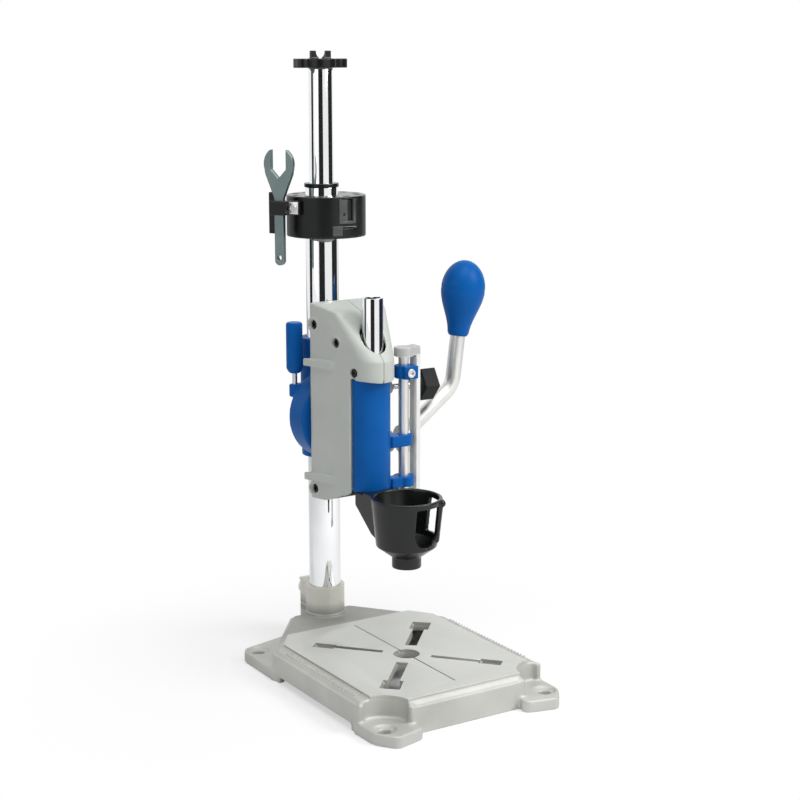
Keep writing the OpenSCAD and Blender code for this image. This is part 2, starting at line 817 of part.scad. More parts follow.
module housing_cuts() {
    block(-housing_half, housing_half, guide_y - nose_d, front_y, housing_z - past, mouth_z);
    translate([-housing_half - hook_out - past, 0, 0]) rotate([90, 0, 90]) linear_extrude(2 * housing_w)
        polygon([[wedge_y, housing_z], [front_y - past, housing_z + wedge_rise],
            [front_y - past, housing_z - past], [wedge_y, housing_z - past]]);
    z_rod(tube_hole_r, mouth_z, housing_top, 0, guide_y);
    x_rod(shaft_bush_r + fit, boss_x0 - past, boss_x1 + past, shaft_y, shaft_z);
    x_rod(shaft_bush_r + fit, left_boss_x0, left_boss_x1 + past, shaft_y, shaft_z);
    y_rod(bolt_r + fit, rear_y - housing_wall - past, rear_y + past, 0, tilt_z);
    x_rod(lock_stud_r + fit, boss_x0 - past, lock_boss_x1 + past, lock_y, lock_z);
    for (z = ear_z) x_rod(rail_screw_r + fit, rail_x1 - rail_screw_len - fit, rail_x0 + past, ear_y, z);
    for (p = case_screws) {
        x_rod(recess_r, -housing_w, -recess_floor, p[0], p[1]);
        x_rod(case_screw_r + fit, -recess_floor - past, case_screw_len - recess_floor + fit, p[0], p[1]);
    }
    x_rod(case_screw_r + fit, -nose_r, nose_r, guide_y, bush_screw_z);
    x_rod(recess_r, -housing_w, -bush_screw_seat, guide_y, bush_screw_z);
    x_rod(recess_r, bush_screw_seat, housing_w, guide_y, bush_screw_z);
}

// Space on one side of the middle plane
module half_space(side) {
    block(min(0, side) * 2 * housing_w, max(0, side) * 2 * housing_w, guide_y - nose_d, post_y,
        housing_z - past, housing_top + past);
}

module housing_side(side) {
    difference() {
        intersection() {
            half_space(side);
            union() {
                difference() {
                    housing_form(0);
                    housing_form(housing_wall);
                }
                intersection() {
                    housing_form(0);
                    housing_columns();
                }
                right_bosses();
                cord_hooks();
            }
        }
        housing_cuts();
    }
}

module housing_left() color("lightgray") housing_side(-1);

module housing_right() color("lightgray") housing_side(1);

module housing_screws() color("dimgray") for (p = case_screws)
    translate([-recess_floor, p[0], p[1]]) rotate([0, -90, 0])
        screw(case_screw_r, case_screw_len, case_head_r, case_head_h);

module guide_bush() color("dimgray") difference() {
    union() {
        z_rod(bush_r, bush_z0, bush_z1, 0, guide_y);
        z_rod(tube_hole_r - gap, bush_z1, bush_top, 0, guide_y);
    }
    z_rod(guide_r + fit, bush_z0 - past, bush_top + past, 0, guide_y);
    x_rod(case_screw_r + fit, -nose_r, bush_screw_len - bush_screw_seat + fit, guide_y, bush_screw_z);
    x_rod(case_screw_r + fit, bush_screw_seat - bush_screw_len - fit, nose_r, guide_y, bush_screw_z);
}

module bush_screws() color("dimgray") for (side = [-1, 1])
    translate([side * bush_screw_seat, guide_y, bush_screw_z]) rotate([0, side * 90, 0])
        screw(case_screw_r, bush_screw_len, case_head_r, bush_head_h);

module shaft_bushes() color("peru") {
    difference() {
        x_rod(shaft_bush_r, boss_x0, boss_x1, shaft_y, shaft_z);
        x_rod(shaft_r + fit, boss_x0 - past, boss_x1 + past, shaft_y, shaft_z);
    }
    difference() {
        x_rod(shaft_bush_r, left_boss_x0, left_bush_x1, shaft_y, shaft_z);
        x_rod(shaft_r + fit, left_boss_x0 - past, left_bush_x1 + past, shaft_y, shaft_z);
    }
}

// Torsion spring: one unbroken helix round the left shaft bush
spring_rings = spring_turns * 8;
spring_sides = 6;
function spring_ring(i, k) = let (
        turn = 360 * i / 8,
        x = spring_x0 + spring_pitch * i / 8,
        around = 360 * k / spring_sides,
        r = spring_r + spring_wire / 2 * cos(around))
    [x + spring_wire / 2 * sin(around), shaft_y + r * cos(turn), shaft_z + r * sin(turn)];
spring_points = [for (i = [0:spring_rings], k = [0:spring_sides - 1]) spring_ring(i, k)];
spring_skin = [for (i = [0:spring_rings - 1], k = [0:spring_sides - 1], half = [0, 1])
    let (a = i * spring_sides + k, b = i * spring_sides + (k + 1) % spring_sides)
    half == 0 ? [a, b, a + spring_sides] : [b, b + spring_sides, a + spring_sides]];
spring_last = spring_rings * spring_sides;
spring_caps = concat(
    [for (k = [1:spring_sides - 2]) [0, k + 1, k]],
    [for (k = [1:spring_sides - 2]) [spring_last, spring_last + k, spring_last + k + 1]]);
spring_gap = min([for (k = [0:spring_sides - 1], j = [0:spring_sides - 1])
    norm(spring_ring(0, k) - spring_ring(8, j))]);
echo(spring_least_gap = spring_gap);

module return_spring() color("silver")
    polyhedron(points = spring_points, faces = concat(spring_skin, spring_caps));

module depth_rail() color("silver") difference() {
    union() {
        block(rail_x0, rail_x1, rail_y0, rail_y1, rail_z0, rail_top);
        for (z = ear_z) {
            x_rod(ear_r, rail_x0, rail_x1, ear_y, z);
            block(rail_x0, rail_x1, rail_y1 - past, ear_y, z - ear_r, z + ear_r);
        }
        z_rod(rod_lug_r, rail_top - cap_h, rail_top, rod_x, guide_y);
        block(rod_x, rail_x1, rail_y0, rail_y1 - lug_in, rail_top - cap_h, rail_top);
        z_rod(rod_lug_r, rail_z0, rail_z0 + lug_h, rod_x, guide_y);
        block(rod_x, rail_x1, rail_y0, rail_y1 - lug_in, rail_z0, rail_z0 + lug_h);
    }
    z_rod(rod_r + fit, rod_z0, rod_top, rod_x, guide_y);
    for (z = ear_z) x_rod(rail_screw_r + fit, rail_x0 - past, rail_x1 + past, ear_y, z);
}

module depth_rod() color("gainsboro") z_rod(rod_r, rod_z0, rod_top, rod_x, guide_y);

module rail_screws() color("silver") for (z = ear_z)
    translate([rail_x1, ear_y, z]) rotate([0, 90, 0])
        screw(rail_screw_r, rail_screw_len, rail_head_r, rail_head_h);

module guide_tube() color("gainsboro") difference() {
    z_rod(guide_r, sleeve_z, guide_top, 0, guide_y);
    z_rod(guide_r - guide_wall, sleeve_z - past, guide_top + past, 0, guide_y);
}

// Half ellipse of the sleeve front, closed along its back
function sleeve_arc(half, depth) = [for (t = [0:7.5:180]) [half * cos(t), sleeve_back - depth * sin(t)]];

module sleeve_arm(z0, z1, end_r) {
    z_rod(end_r, z0, z1, rod_x, guide_y);
    block(sleeve_half - sleeve_wall, rod_x, guide_y - arm_r, sleeve_back, z0, z1);
}

module carriage_sleeve() color("royalblue") difference() {
    union() {
        difference() {
            translate([0, 0, sleeve_z]) linear_extrude(sleeve_h)
                polygon(sleeve_arc(sleeve_half, sleeve_depth));
            translate([0, 0, sleeve_z + block_h]) linear_extrude(sleeve_h - 2 * block_h)
                polygon(sleeve_arc(sleeve_half - sleeve_wall, sleeve_depth - sleeve_wall));
        }
        for (z = [sleeve_z, sleeve_top - block_h])
            block(tail_x0, tail_x1, sleeve_back - past, sleeve_back + sleeve_tail, z, z + block_h);
        sleeve_arm(mid_arm[0], mid_arm[1], arm_r);
        sleeve_arm(low_arm[0], low_arm[1], low_arm_r);
    }
    z_rod(guide_r + fit, sleeve_z - past, sleeve_top + past, 0, guide_y);
    z_rod(rod_r + fit, low_arm[0] - past, mid_arm[1] + past, rod_x, guide_y);
    block(rack_x0 - fit, rack_x1 + fit, rack_back_y - fit, sleeve_back + past,
        sleeve_z - past, sleeve_top + past);
    for (z = rack_screw_z) x_rod(rack_screw_r + fit, rack_x1 - past, sleeve_half + past, rack_screw_y, z);
    for (side = [-1, 1])
        z_rod(cup_screw_r + fit, sleeve_z - past, cup_screw_end + fit, side * cup_screw_x, cup_screw_y);
}

// Teeth of the rack along Z, one tooth level with the feed shaft
rack_from = ceil((sleeve_z - shaft_z) / tooth_pitch + 0.5);
rack_to = floor((sleeve_top - shaft_z) / tooth_pitch - 0.5);
tooth_half = tooth_pitch / 4 - backlash / 2;
tip_half = tooth_half - gear_module * tan(20);
root_half = tooth_half + 1.25 * gear_module * tan(20);
function rack_profile() = concat(
    [[rack_back_y, sleeve_z], [rack_root_y, sleeve_z]],
    [for (i = [rack_from:rack_to], p = [[rack_root_y, -root_half], [rack_tip_y, -tip_half],
        [rack_tip_y, tip_half], [rack_root_y, root_half]]) [p[0], shaft_z + i * tooth_pitch + p[1]]],
    [[rack_root_y, sleeve_top], [rack_back_y, sleeve_top]]);

module feed_rack() color("gray") difference() {
    translate([rack_x0, 0, 0]) rotate([90, 0, 90]) linear_extrude(rack_x1 - rack_x0) polygon(rack_profile());
    for (z = rack_screw_z) x_rod(rack_screw_r + fit, rack_x0 - past, rack_x1 + past, rack_screw_y, z);
}

module rack_screws() color("silver") for (z = rack_screw_z)
    x_rod(rack_screw_r, rack_x0, rack_screw_x1, rack_screw_y, z);

// Half section of the cup's outside
function cup_outside() = [[0, cup_nose_z], [cup_nose_r, cup_nose_z], [cup_nose_r, cup_shoulder],
    [cup_nose_r + cup_step, cup_shoulder], [cup_r - cup_taper, cup_floor], [cup_r, cup_top], [0, cup_top]];

// Half section of the cup's hollow, past both its ends
function cup_hollow() = [[0, cup_nose_z - past], [tool_thread_d / 2, cup_nose_z - past],
    [tool_thread_d / 2, cup_shoulder + cup_base], [cup_r - cup_taper - cup_wall, cup_floor + cup_base],
    [cup_r - cup_wall, cup_top + cup_base], [0, cup_top + cup_base]];

// Arch of the front window, its round end down
function cup_arch() = concat([[window_half, window_top], [-window_half, window_top]],
    [for (t = [180:12:360]) [window_half * cos(t), arch_z + window_half * sin(t)]]);

module cup_windows() {
    translate([0, tool_y, 0]) rotate([0, 0, side_window_turn])
        block(cup_r / 2, cup_d, -window_half, window_half, window_foot, window_top);
    translate([0, tool_y, 0]) rotate([0, 0, front_window_turn])
        translate([cup_r / 2, 0, 0]) rotate([90, 0, 90]) linear_extrude(cup_d) polygon(cup_arch());
}

// Upright strap beside the front window, proud of the cup
module cup_strap() {
    translate([0, tool_y, 0]) intersection() {
        translate([0, 0, cup_floor])
            cylinder(r1 = cup_r - cup_taper + strap_proud, r2 = cup_r + strap_proud, h = cup_top - cup_floor);
        rotate([0, 0, strap_turn]) block(cup_r / 2, cup_d, -strap_half, strap_half, strap_foot, cup_top);
    }
}

// Neck between the sleeve and the cup, drawn from the side
module cup_neck() {
    translate([-neck_half, 0, 0]) rotate([90, 0, 90]) linear_extrude(2 * neck_half)
        polygon([[neck_y1, sleeve_z], [neck_y1, sleeve_z - neck_lip],
            [tool_y + cup_r - 1, cup_floor + neck_drop], [tool_y + cup_r / 2, cup_floor],
            [tool_y + cup_r / 2, neck_top], [sleeve_front, neck_top], [sleeve_front, sleeve_z]]);
}

module tool_cup() color("black") difference() {
    union() {
        translate([0, tool_y, 0]) rotate_extrude() polygon(cup_outside());
        cup_neck();
        cup_strap();
    }
    translate([0, tool_y, 0]) rotate_extrude() polygon(cup_hollow());
    cup_windows();
    for (side = [-1, 1]) {
        z_rod(cup_screw_r + fit, cup_floor, sleeve_z + past, side * cup_screw_x, cup_screw_y);
        z_rod(cup_head_r + gap, cup_floor, cup_screw_seat, side * cup_screw_x, cup_screw_y);
    }
}

module cup_screws() color("silver") for (side = [-1, 1])
    translate([side * cup_screw_x, cup_screw_y, cup_screw_seat]) rotate([180, 0, 0])
        screw(cup_screw_r, cup_screw_end - cup_screw_seat, cup_head_r, cup_head_h);

// Involute gear tooth: half angle of the tooth at a radius
function involute(r) = let (a = acos(min(1, gear_base / r))) tan(a) * 180 / PI - a;
tooth_angle = 90 / gear_teeth - backlash / 2 / gear_r * 180 / PI + involute(gear_r);
function half_tooth(r) = tooth_angle - involute(max(r, gear_base));
tooth_steps = [gear_root, gear_base, gear_r, gear_r + gear_module / 2, gear_tip];
function on_circle(r, a) = [r * cos(a), r * sin(a)];
gear_outline = [for (i = [0:gear_teeth - 1]) let (mid = (i + 0.5) * 360 / gear_teeth) each concat(
    [for (k = [0:4]) on_circle(tooth_steps[k], mid - half_tooth(tooth_steps[k]))],
    [for (k = [4:-1:0]) on_circle(tooth_steps[k], mid + half_tooth(tooth_steps[k]))])];

module feed_pinion() color("gray") difference() {
    union() {
        translate([gear_x0, shaft_y, shaft_z]) rotate([90, 0, 90])
            linear_extrude(gear_x1 - gear_x0) polygon(gear_outline);
        x_rod(gear_hub_r, gear_hub_x0, gear_x0, shaft_y, shaft_z);
    }
    x_rod(shaft_r + fit, 0, boss_x0, shaft_y, shaft_z);
}

module pinion_shaft() color("silver") x_rod(shaft_r, shaft_x0, hub_x0 + shaft_seat, shaft_y, shaft_z);

// Line of the lever, drawn in the plane of its shaft
module lever_run(r) {
    reach_in = norm(lever_bend - lever_start) - lever_tangent;
    reach_out = norm(lever_end - lever_bend) - lever_tangent;
    translate([0, shaft_y, 0]) {
        translate([lever_start[0], 0, lever_start[1]]) rotate([0, 90 - lever_turn_in, 0]) {
            cylinder(r = r, h = reach_in + past);
            translate([-lever_bend_r, 0, reach_in]) rotate([-90, 0, 0])
                rotate([0, 0, lever_turn_in - lever_turn_out])
                    rotate_extrude(angle = lever_turn_out - lever_turn_in)
                        translate([lever_bend_r, 0]) circle(r = r + bend_swell);
        }
        translate([lever_end[0], 0, lever_end[1]]) rotate([0, 90 - lever_turn_out, 0])
            translate([0, 0, -reach_out - past]) cylinder(r = r, h = reach_out + past + knob_seat);
    }
}

module lever_hub() color("silver") difference() {
    union() {
        x_rod(hub_r, hub_x0, hub_x1 - hub_chamfer, shaft_y, shaft_z);
        translate([hub_x1 - hub_chamfer, shaft_y, shaft_z]) rotate([0, 90, 0])
            cylinder(r1 = hub_r, r2 = hub_r - hub_chamfer, h = hub_chamfer);
    }
    x_rod(shaft_r + fit, hub_x0 - past, hub_x0 + shaft_seat, shaft_y, shaft_z);
    lever_run(lever_d / 2 + fit);
    z_rod(hub_screw_r + fit, shaft_z - hub_r - past, shaft_z - shaft_r, hub_screw_x, shaft_y);
}

module hub_screw() color("dimgray")
    z_rod(hub_screw_r, shaft_z - hub_r, shaft_z - shaft_r - fit, hub_screw_x, shaft_y);

module lever_arm() color("gainsboro") difference() {
    lever_run(lever_d / 2);
    x_rod(hub_r, 0, hub_x0 + shaft_seat + fit, shaft_y, shaft_z);
}

// Egg profile of the knob from its neck to its crown
function knob_width(h) = h < knob_wide
    ? knob_neck_r + (knob_r - knob_neck_r) * (1 - cos(180 * h / knob_wide)) / 2
    : knob_r * sqrt(max(0, 1 - pow((h - knob_wide) / (knob_len - knob_wide), 2)));
knob_profile = concat(
    [[0, 0], [knob_neck_r - knob_chamfer, 0]],
    [for (i = [1:23]) [knob_width(i * knob_len / 24), i * knob_len / 24]],
    [[0, knob_len]]);

module lever_knob() color("royalblue")
    translate([lever_end[0], shaft_y, lever_end[1]]) rotate([0, 90 - lever_turn_out, 0]) difference() {
        rotate_extrude() polygon(knob_profile);
        translate([0, 0, -past]) cylinder(r = lever_d / 2 + fit, h = knob_seat + past + fit);
    }

module stop_collar() color("royalblue") difference() {
    union() {
        z_rod(stop_r, stop_z - stop_h / 2, stop_z + stop_h / 2, rod_x, guide_y);
        block(rod_x - stop_left, rod_x + stop_right, stop_y0, guide_y,
            stop_z - stop_h / 2, stop_z + stop_h / 2);
    }
    z_rod(rod_r + fit, stop_z - stop_h, stop_z + stop_h, rod_x, guide_y);
    y_rod(stop_screw_r + fit, stop_y0 - past, guide_y, rod_x, stop_z);
}

module stop_screw() color("silver")
    translate([rod_x, stop_y0, stop_z]) rotate([90, 0, 0])
        screw(stop_screw_r, guide_y - rod_r - fit - stop_y0, stop_head_r, stop_head_h);

function lock_corner(turn) = lock_r * [cos(turn), sin(turn)];

module lock_knob() color("black") difference() {
    union() {
        x_rod(lock_foot_r, lock_x0, lock_x0 + lock_foot + past, lock_y, lock_z);
        translate([lock_x0 + lock_foot, lock_y, lock_z]) rotate([90, 0, 90])
            linear_extrude(lock_x1 - lock_x0 - lock_foot)
                polygon([for (i = [0:lock_sides - 1]) lock_corner(lock_phase + i * 360 / lock_sides)]);
    }
    x_rod(lock_stud_r + fit, lock_x0 - past, lock_stud_x1, lock_y, lock_z);
}

module lock_stud() color("silver") x_rod(lock_stud_r, lock_stud_x0, lock_stud_x1, lock_y, lock_z);

base_casting();
post_set_screw();
lower_post();
post_bush();
upper_post();
tool_hanger();
hanger_screw();
accessory_holder();
holder_lock_screw();
wrench_clip();
clip_screw();
collet_wrench();
support_collar();
collar_screw();
column_clamp();
tilt_bolt();
tilt_washer();
lock_grip();
lock_pin();
housing_left();
housing_right();
housing_screws();
guide_bush();
bush_screws();
shaft_bushes();
return_spring();
depth_rail();
depth_rod();
rail_screws();
guide_tube();
carriage_sleeve();
feed_rack();
rack_screws();
tool_cup();
cup_screws();
feed_pinion();
pinion_shaft();
lever_hub();
hub_screw();
lever_arm();
lever_knob();
stop_collar();
stop_screw();
lock_knob();
lock_stud();
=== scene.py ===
# %% [markdown]
# Drill stand for a hand-held rotary tool
#
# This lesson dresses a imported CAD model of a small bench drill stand. The CAD part gives every piece its
# place and its joints. Here the pieces get rounded edges, ribs, beads and finishes, so that the stand looks
# like cast aluminium, chromed tube and moulded plastic in soft studio light.

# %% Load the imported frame
import json
import math

import bmesh
import bpy
from mathutils import Matrix, Vector

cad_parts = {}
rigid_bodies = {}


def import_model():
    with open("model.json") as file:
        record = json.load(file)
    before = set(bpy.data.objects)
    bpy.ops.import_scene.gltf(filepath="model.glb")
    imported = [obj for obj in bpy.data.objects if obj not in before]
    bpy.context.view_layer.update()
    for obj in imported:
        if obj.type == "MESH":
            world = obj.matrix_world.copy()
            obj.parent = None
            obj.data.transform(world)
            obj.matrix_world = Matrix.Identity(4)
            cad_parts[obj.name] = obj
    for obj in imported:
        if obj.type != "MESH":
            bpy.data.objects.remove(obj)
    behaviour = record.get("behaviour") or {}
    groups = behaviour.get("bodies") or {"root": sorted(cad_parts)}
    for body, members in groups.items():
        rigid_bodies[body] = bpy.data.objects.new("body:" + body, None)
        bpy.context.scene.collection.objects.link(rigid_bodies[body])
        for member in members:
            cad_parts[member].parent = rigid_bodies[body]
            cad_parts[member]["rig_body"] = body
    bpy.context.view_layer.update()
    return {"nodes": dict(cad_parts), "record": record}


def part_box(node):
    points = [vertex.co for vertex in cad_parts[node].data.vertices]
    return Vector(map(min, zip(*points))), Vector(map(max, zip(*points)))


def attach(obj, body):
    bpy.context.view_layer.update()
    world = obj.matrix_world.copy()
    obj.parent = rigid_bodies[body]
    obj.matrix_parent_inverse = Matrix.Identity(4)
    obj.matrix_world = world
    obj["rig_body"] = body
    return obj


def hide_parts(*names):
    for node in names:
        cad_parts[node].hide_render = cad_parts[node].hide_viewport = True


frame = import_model()
print("nodes:", len(frame["nodes"]))

# %% [markdown]
# The camera comes first, because every later choice is judged through it. The photograph was fitted with a
# long lens from the front left, a little above the tool cup. The lens is given for a 36 mm sensor. The two
# level directions of the view are kept for the flags, which stand where the camera would see them mirrored.

# %% Camera
view_back = Vector((-0.5337, -0.8457, 0))
view_right = Vector((0.8457, -0.5337, 0))
camera_data = bpy.data.cameras.new("stand_camera")
camera_data.sensor_fit = "HORIZONTAL"
camera_data.sensor_width = 36
camera_data.lens = 77.07
camera = bpy.data.objects.new("stand_camera", camera_data)
camera.location = (-0.66404, -1.05686, 0.47769)
camera.rotation_euler = (math.radians(78.351), 0, math.radians(-32.257))
bpy.context.scene.collection.objects.link(camera)
bpy.context.scene.camera = camera
print("camera at", tuple(camera.location), "lens", camera_data.lens)

# %% [markdown]
# A finish is a node tree on one Principled shader. Each needs the same few parts: a noise for the grain, a
# range that turns the noise into roughness, a pair of colours that it moves between, and a bump. One small
# helper for each keeps the finishes short. All of them read Object coordinates, in metres, so a grain of a
# third of a millimetre has a scale near 3000. Most of a noise lies between 0.3 and 0.7, so the ranges and
# the colours are set on that part of it.

# %% Finish helpers
noise_low = 0.3
noise_high = 0.7


def begin_finish(name, metal, rough, specular=0.5):
    finish = bpy.data.materials.new(name)
    finish.use_nodes = True
    shader = finish.node_tree.nodes["Principled BSDF"]
    shader.inputs["Metallic"].default_value = metal
    shader.inputs["Roughness"].default_value = rough
    shader.inputs["Specular IOR Level"].default_value = specular
    return finish, finish.node_tree, shader


def grain(tree, scale, stretch=(1, 1, 1), detail=3.0, turn=0.0):
    coords = tree.nodes.new("ShaderNodeTexCoord")
    mapping = tree.nodes.new("ShaderNodeMapping")
    mapping.inputs["Scale"].default_value = stretch
    mapping.inputs["Rotation"].default_value = (0, 0, math.radians(turn))
    noise = tree.nodes.new("ShaderNodeTexNoise")
    noise.inputs["Scale"].default_value = scale
    noise.inputs["Detail"].default_value = detail
    tree.links.new(coords.outputs["Object"], mapping.inputs["Vector"])
    tree.links.new(mapping.outputs["Vector"], noise.inputs["Vector"])
    return noise.outputs["Fac"]


def place_in(tree):
    coords = tree.nodes.new("ShaderNodeTexCoord")
    parts = tree.nodes.new("ShaderNodeSeparateXYZ")
    tree.links.new(coords.outputs["Object"], parts.inputs["Vector"])
    return parts.outputs


def reckon(tree, operation, first, second):
    step = tree.nodes.new("ShaderNodeMath")
    step.operation = operation
    tree.links.new(first, step.inputs[0])
    if isinstance(second, float):
        step.inputs[1].default_value = second
    else:
        tree.links.new(second, step.inputs[1])
    return step.outputs["Value"]


def spread(tree, fac, low, high, lowest=noise_low, highest=noise_high):
    ranged = tree.nodes.new("ShaderNodeMapRange")
    ranged.inputs["From Min"].default_value = lowest
    ranged.inputs["From Max"].default_value = highest
    ranged.inputs["To Min"].default_value = low
    ranged.inputs["To Max"].default_value = high
    tree.links.new(fac, ranged.inputs["Value"])
    return ranged.outputs["Result"]


def tint(tree, fac, dark, light):
    ramp = tree.nodes.new("ShaderNodeValToRGB")
    ramp.color_ramp.elements[0].position = noise_low
    ramp.color_ramp.elements[0].color = (*dark, 1)
    ramp.color_ramp.elements[1].position = noise_high
    ramp.color_ramp.elements[1].color = (*light, 1)
    tree.links.new(fac, ramp.inputs["Fac"])
    return ramp.outputs["Color"]


def relief(tree, shader, height, depth):
    bump = tree.nodes.new("ShaderNodeBump")
    bump.inputs["Strength"].default_value = 1.0
    bump.inputs["Distance"].default_value = depth
    tree.links.new(height, bump.inputs["Height"])
    tree.links.new(bump.outputs["Normal"], shader.inputs["Normal"])


def mix_by(tree, mask, first, second, kind="RGBA"):
    blend = tree.nodes.new("ShaderNodeMix")
    blend.data_type = kind
    tree.links.new(mask, blend.inputs["Factor"])
    tree.links.new(first, blend.inputs["A"])
    tree.links.new(second, blend.inputs["B"])
    return blend.outputs["Result"]


def mix_shaders(tree, mask, first, second, output):
    mixed = tree.nodes.new("ShaderNodeMixShader")
    tree.links.new(mask, mixed.inputs["Fac"])
    tree.links.new(first, mixed.inputs[1])
    tree.links.new(second, mixed.inputs[2])
    tree.links.new(mixed.outputs["Shader"], output.inputs["Surface"])


print("finish helpers ready")

# %% [markdown]
# The moulded plastics share one recipe: a colour that drifts a little over a few centimetres, a fine spark
# grain from the mould, and a roughness that follows the grain. Only the colours and the gloss differ, so one
# function makes the blue, the warm grey and the blacks.

# %% Moulded plastics
def moulded_plastic(name, dark, light, smooth, rough, grain_depth, specular):
    finish, tree, shader = begin_finish(name, 0.0, rough, specular)
    drift = grain(tree, 38, detail=4)
    tree.links.new(tint(tree, drift, dark, light), shader.inputs["Base Color"])
    spark = grain(tree, 2600, detail=2)
    tree.links.new(spread(tree, spark, smooth, rough), shader.inputs["Roughness"])
    relief(tree, shader, spark, grain_depth)
    print("plastic:", name)
    return finish


blue_plastic = moulded_plastic("blue_plastic", (0.003, 0.092, 0.350), (0.004, 0.106, 0.392),
    0.30, 0.40, 0.00003, 0.08)
grey_plastic = moulded_plastic("grey_plastic", (0.455, 0.478, 0.450), (0.490, 0.513, 0.483),
    0.42, 0.52, 0.00004, 0.5)
black_plastic = moulded_plastic("black_plastic", (0.006, 0.0065, 0.007), (0.009, 0.0098, 0.010),
    0.16, 0.26, 0.00005, 0.38)
matt_black = moulded_plastic("matt_black", (0.012, 0.013, 0.013), (0.017, 0.018, 0.0185),
    0.48, 0.62, 0.00005, 0.14)
# Painted reflection: this paler black is laid on the drum's window, whose frame, panel and tab catch light on
# their gloss.
rubbed_black = moulded_plastic("rubbed_black", (0.050, 0.054, 0.051), (0.072, 0.076, 0.071),
    0.20, 0.30, 0.00003, 0.5)

# %% [markdown]
# The base is one aluminium casting. Its skin keeps the sand grain, and the work plate on top is milled, so
# it is brighter and shows fine straight tool marks. The two are one material: a mask on the height picks the
# milled face. A second mask paints shade on the deck behind the plate, where the housing and the post shade
# it, and a third makes the post socket paler.

# %% Cast and milled aluminium
milled_above = 0.0257
socket_above = 0.0268
socket_blend = 0.009
shade_from_y = 0.064
shade_full_y = 0.082
shade_from_z = 0.0205
shade_full_z = 0.0225


def cast_aluminium():
    finish, tree, shader = begin_finish("cast_aluminium", 0.4, 0.5)
    place = place_in(tree)
    above = reckon(tree, "GREATER_THAN", place["Z"], milled_above)
    below = reckon(tree, "LESS_THAN", place["Z"], socket_above)
    milled = reckon(tree, "MULTIPLY", above, below)
    # Painted shade: the deck behind the plate is darkened where the housing and the post above it shade it.
    shade_behind = spread(tree, place["Y"], 0.0, 1.0, shade_from_y, shade_full_y)
    high = spread(tree, place["Z"], 0.0, 1.0, shade_from_z, shade_full_z)
    deck_shade = reckon(tree, "MULTIPLY", shade_behind, high)
    socket = spread(tree, place["Z"], 0.0, 1.0, socket_above, socket_above + socket_blend)
    clouds = grain(tree, 24, detail=5)
    sand = grain(tree, 1500, detail=3)
    marks = grain(tree, 1, stretch=(60, 2600, 60), detail=2, turn=14)
    rim_colour = tint(tree, clouds, (0.47, 0.47, 0.445), (0.58, 0.58, 0.552))
    deck_shade_colour = tint(tree, clouds, (0.33, 0.33, 0.315), (0.41, 0.41, 0.392))
    socket_colour = tint(tree, sand, (0.66, 0.65, 0.58), (0.78, 0.77, 0.70))
    milled_colour = tint(tree, marks, (0.57, 0.58, 0.55), (0.64, 0.65, 0.62))
    cast_and_shade_colour = mix_by(tree, deck_shade, rim_colour, deck_shade_colour)
    skin_colour = mix_by(tree, socket, cast_and_shade_colour, socket_colour)
    tree.links.new(mix_by(tree, milled, skin_colour, milled_colour), shader.inputs["Base Color"])
    cast_rough = spread(tree, sand, 0.50, 0.66)
    milled_rough = spread(tree, marks, 0.34, 0.50)
    tree.links.new(mix_by(tree, milled, cast_rough, milled_rough, "FLOAT"), shader.inputs["Roughness"])
    sand_height = spread(tree, sand, 0.0, 1.0)
    mark_height = spread(tree, marks, 0.0, 0.12)
    relief(tree, shader, mix_by(tree, milled, sand_height, mark_height, "FLOAT"), 0.00007)
    return finish


cast_skin = cast_aluminium()
print("cast finish with", len(cast_skin.node_tree.nodes), "nodes")

# %% [markdown]
# The bright metals differ by how they were worked. Chromed tube is nearly a mirror with faint lines along
# its length. The lever, rail and rod are satin aluminium, rubbed along their length. The top end of the rail
# is darkened as painted shade, to hold back the light that falls on its cap. The small screws are zinc
# plated, the wrench has a grey-green zinc finish, and the bushes are bronze.

# %% Bright metals
# Painted shade: above a set height the rail is darkened by this factor, where its cap catches the lamps.
cap_shade = 0.62
cap_shade_blend = 0.0008
rail_cap_shade_above = 0.2462


def worked_metal(name, dark, light, smooth, rough, stretch, depth, metal=1.0, shade_above=None):
    finish, tree, shader = begin_finish(name, metal, rough)
    lines = grain(tree, 1, stretch=stretch, detail=3)
    clouds = grain(tree, 45, detail=4)
    colour = tint(tree, clouds, dark, light)
    # Painted shade: above the given height the colour is darkened, so that the top end holds back the light.
    if shade_above:
        mask = spread(tree, place_in(tree)["Z"], 0.0, 1.0, shade_above, shade_above + cap_shade_blend)
        cap_shade_colour = tint(tree, clouds, [c * cap_shade for c in dark], [c * cap_shade for c in light])
        colour = mix_by(tree, mask, colour, cap_shade_colour)
    tree.links.new(colour, shader.inputs["Base Color"])
    tree.links.new(spread(tree, lines, smooth, rough), shader.inputs["Roughness"])
    relief(tree, shader, lines, depth)
    print("metal:", name)
    return finish


chrome = worked_metal("chrome", (0.80, 0.81, 0.82), (0.86, 0.87, 0.88),
    0.035, 0.075, (900, 900, 12), 0.000001)
satin = worked_metal("satin_aluminium", (0.72, 0.72, 0.70), (0.80, 0.80, 0.78),
    0.34, 0.46, (900, 900, 30), 0.00001)
rail_satin = worked_metal("rail_aluminium", (0.74, 0.75, 0.73), (0.82, 0.83, 0.81),
    0.42, 0.54, (900, 900, 30), 0.00001, metal=0.3, shade_above=rail_cap_shade_above)
zinc = worked_metal("zinc_plate", (0.62, 0.63, 0.63), (0.72, 0.73, 0.73),
    0.22, 0.34, (700, 700, 700), 0.00001)
wrench_zinc = worked_metal("wrench_zinc", (0.20, 0.255, 0.255), (0.25, 0.31, 0.31),
    0.34, 0.46, (700, 700, 60), 0.00002)
bronze = worked_metal("bronze", (0.42, 0.27, 0.12), (0.52, 0.34, 0.16),
    0.30, 0.42, (600, 600, 600), 0.00001)
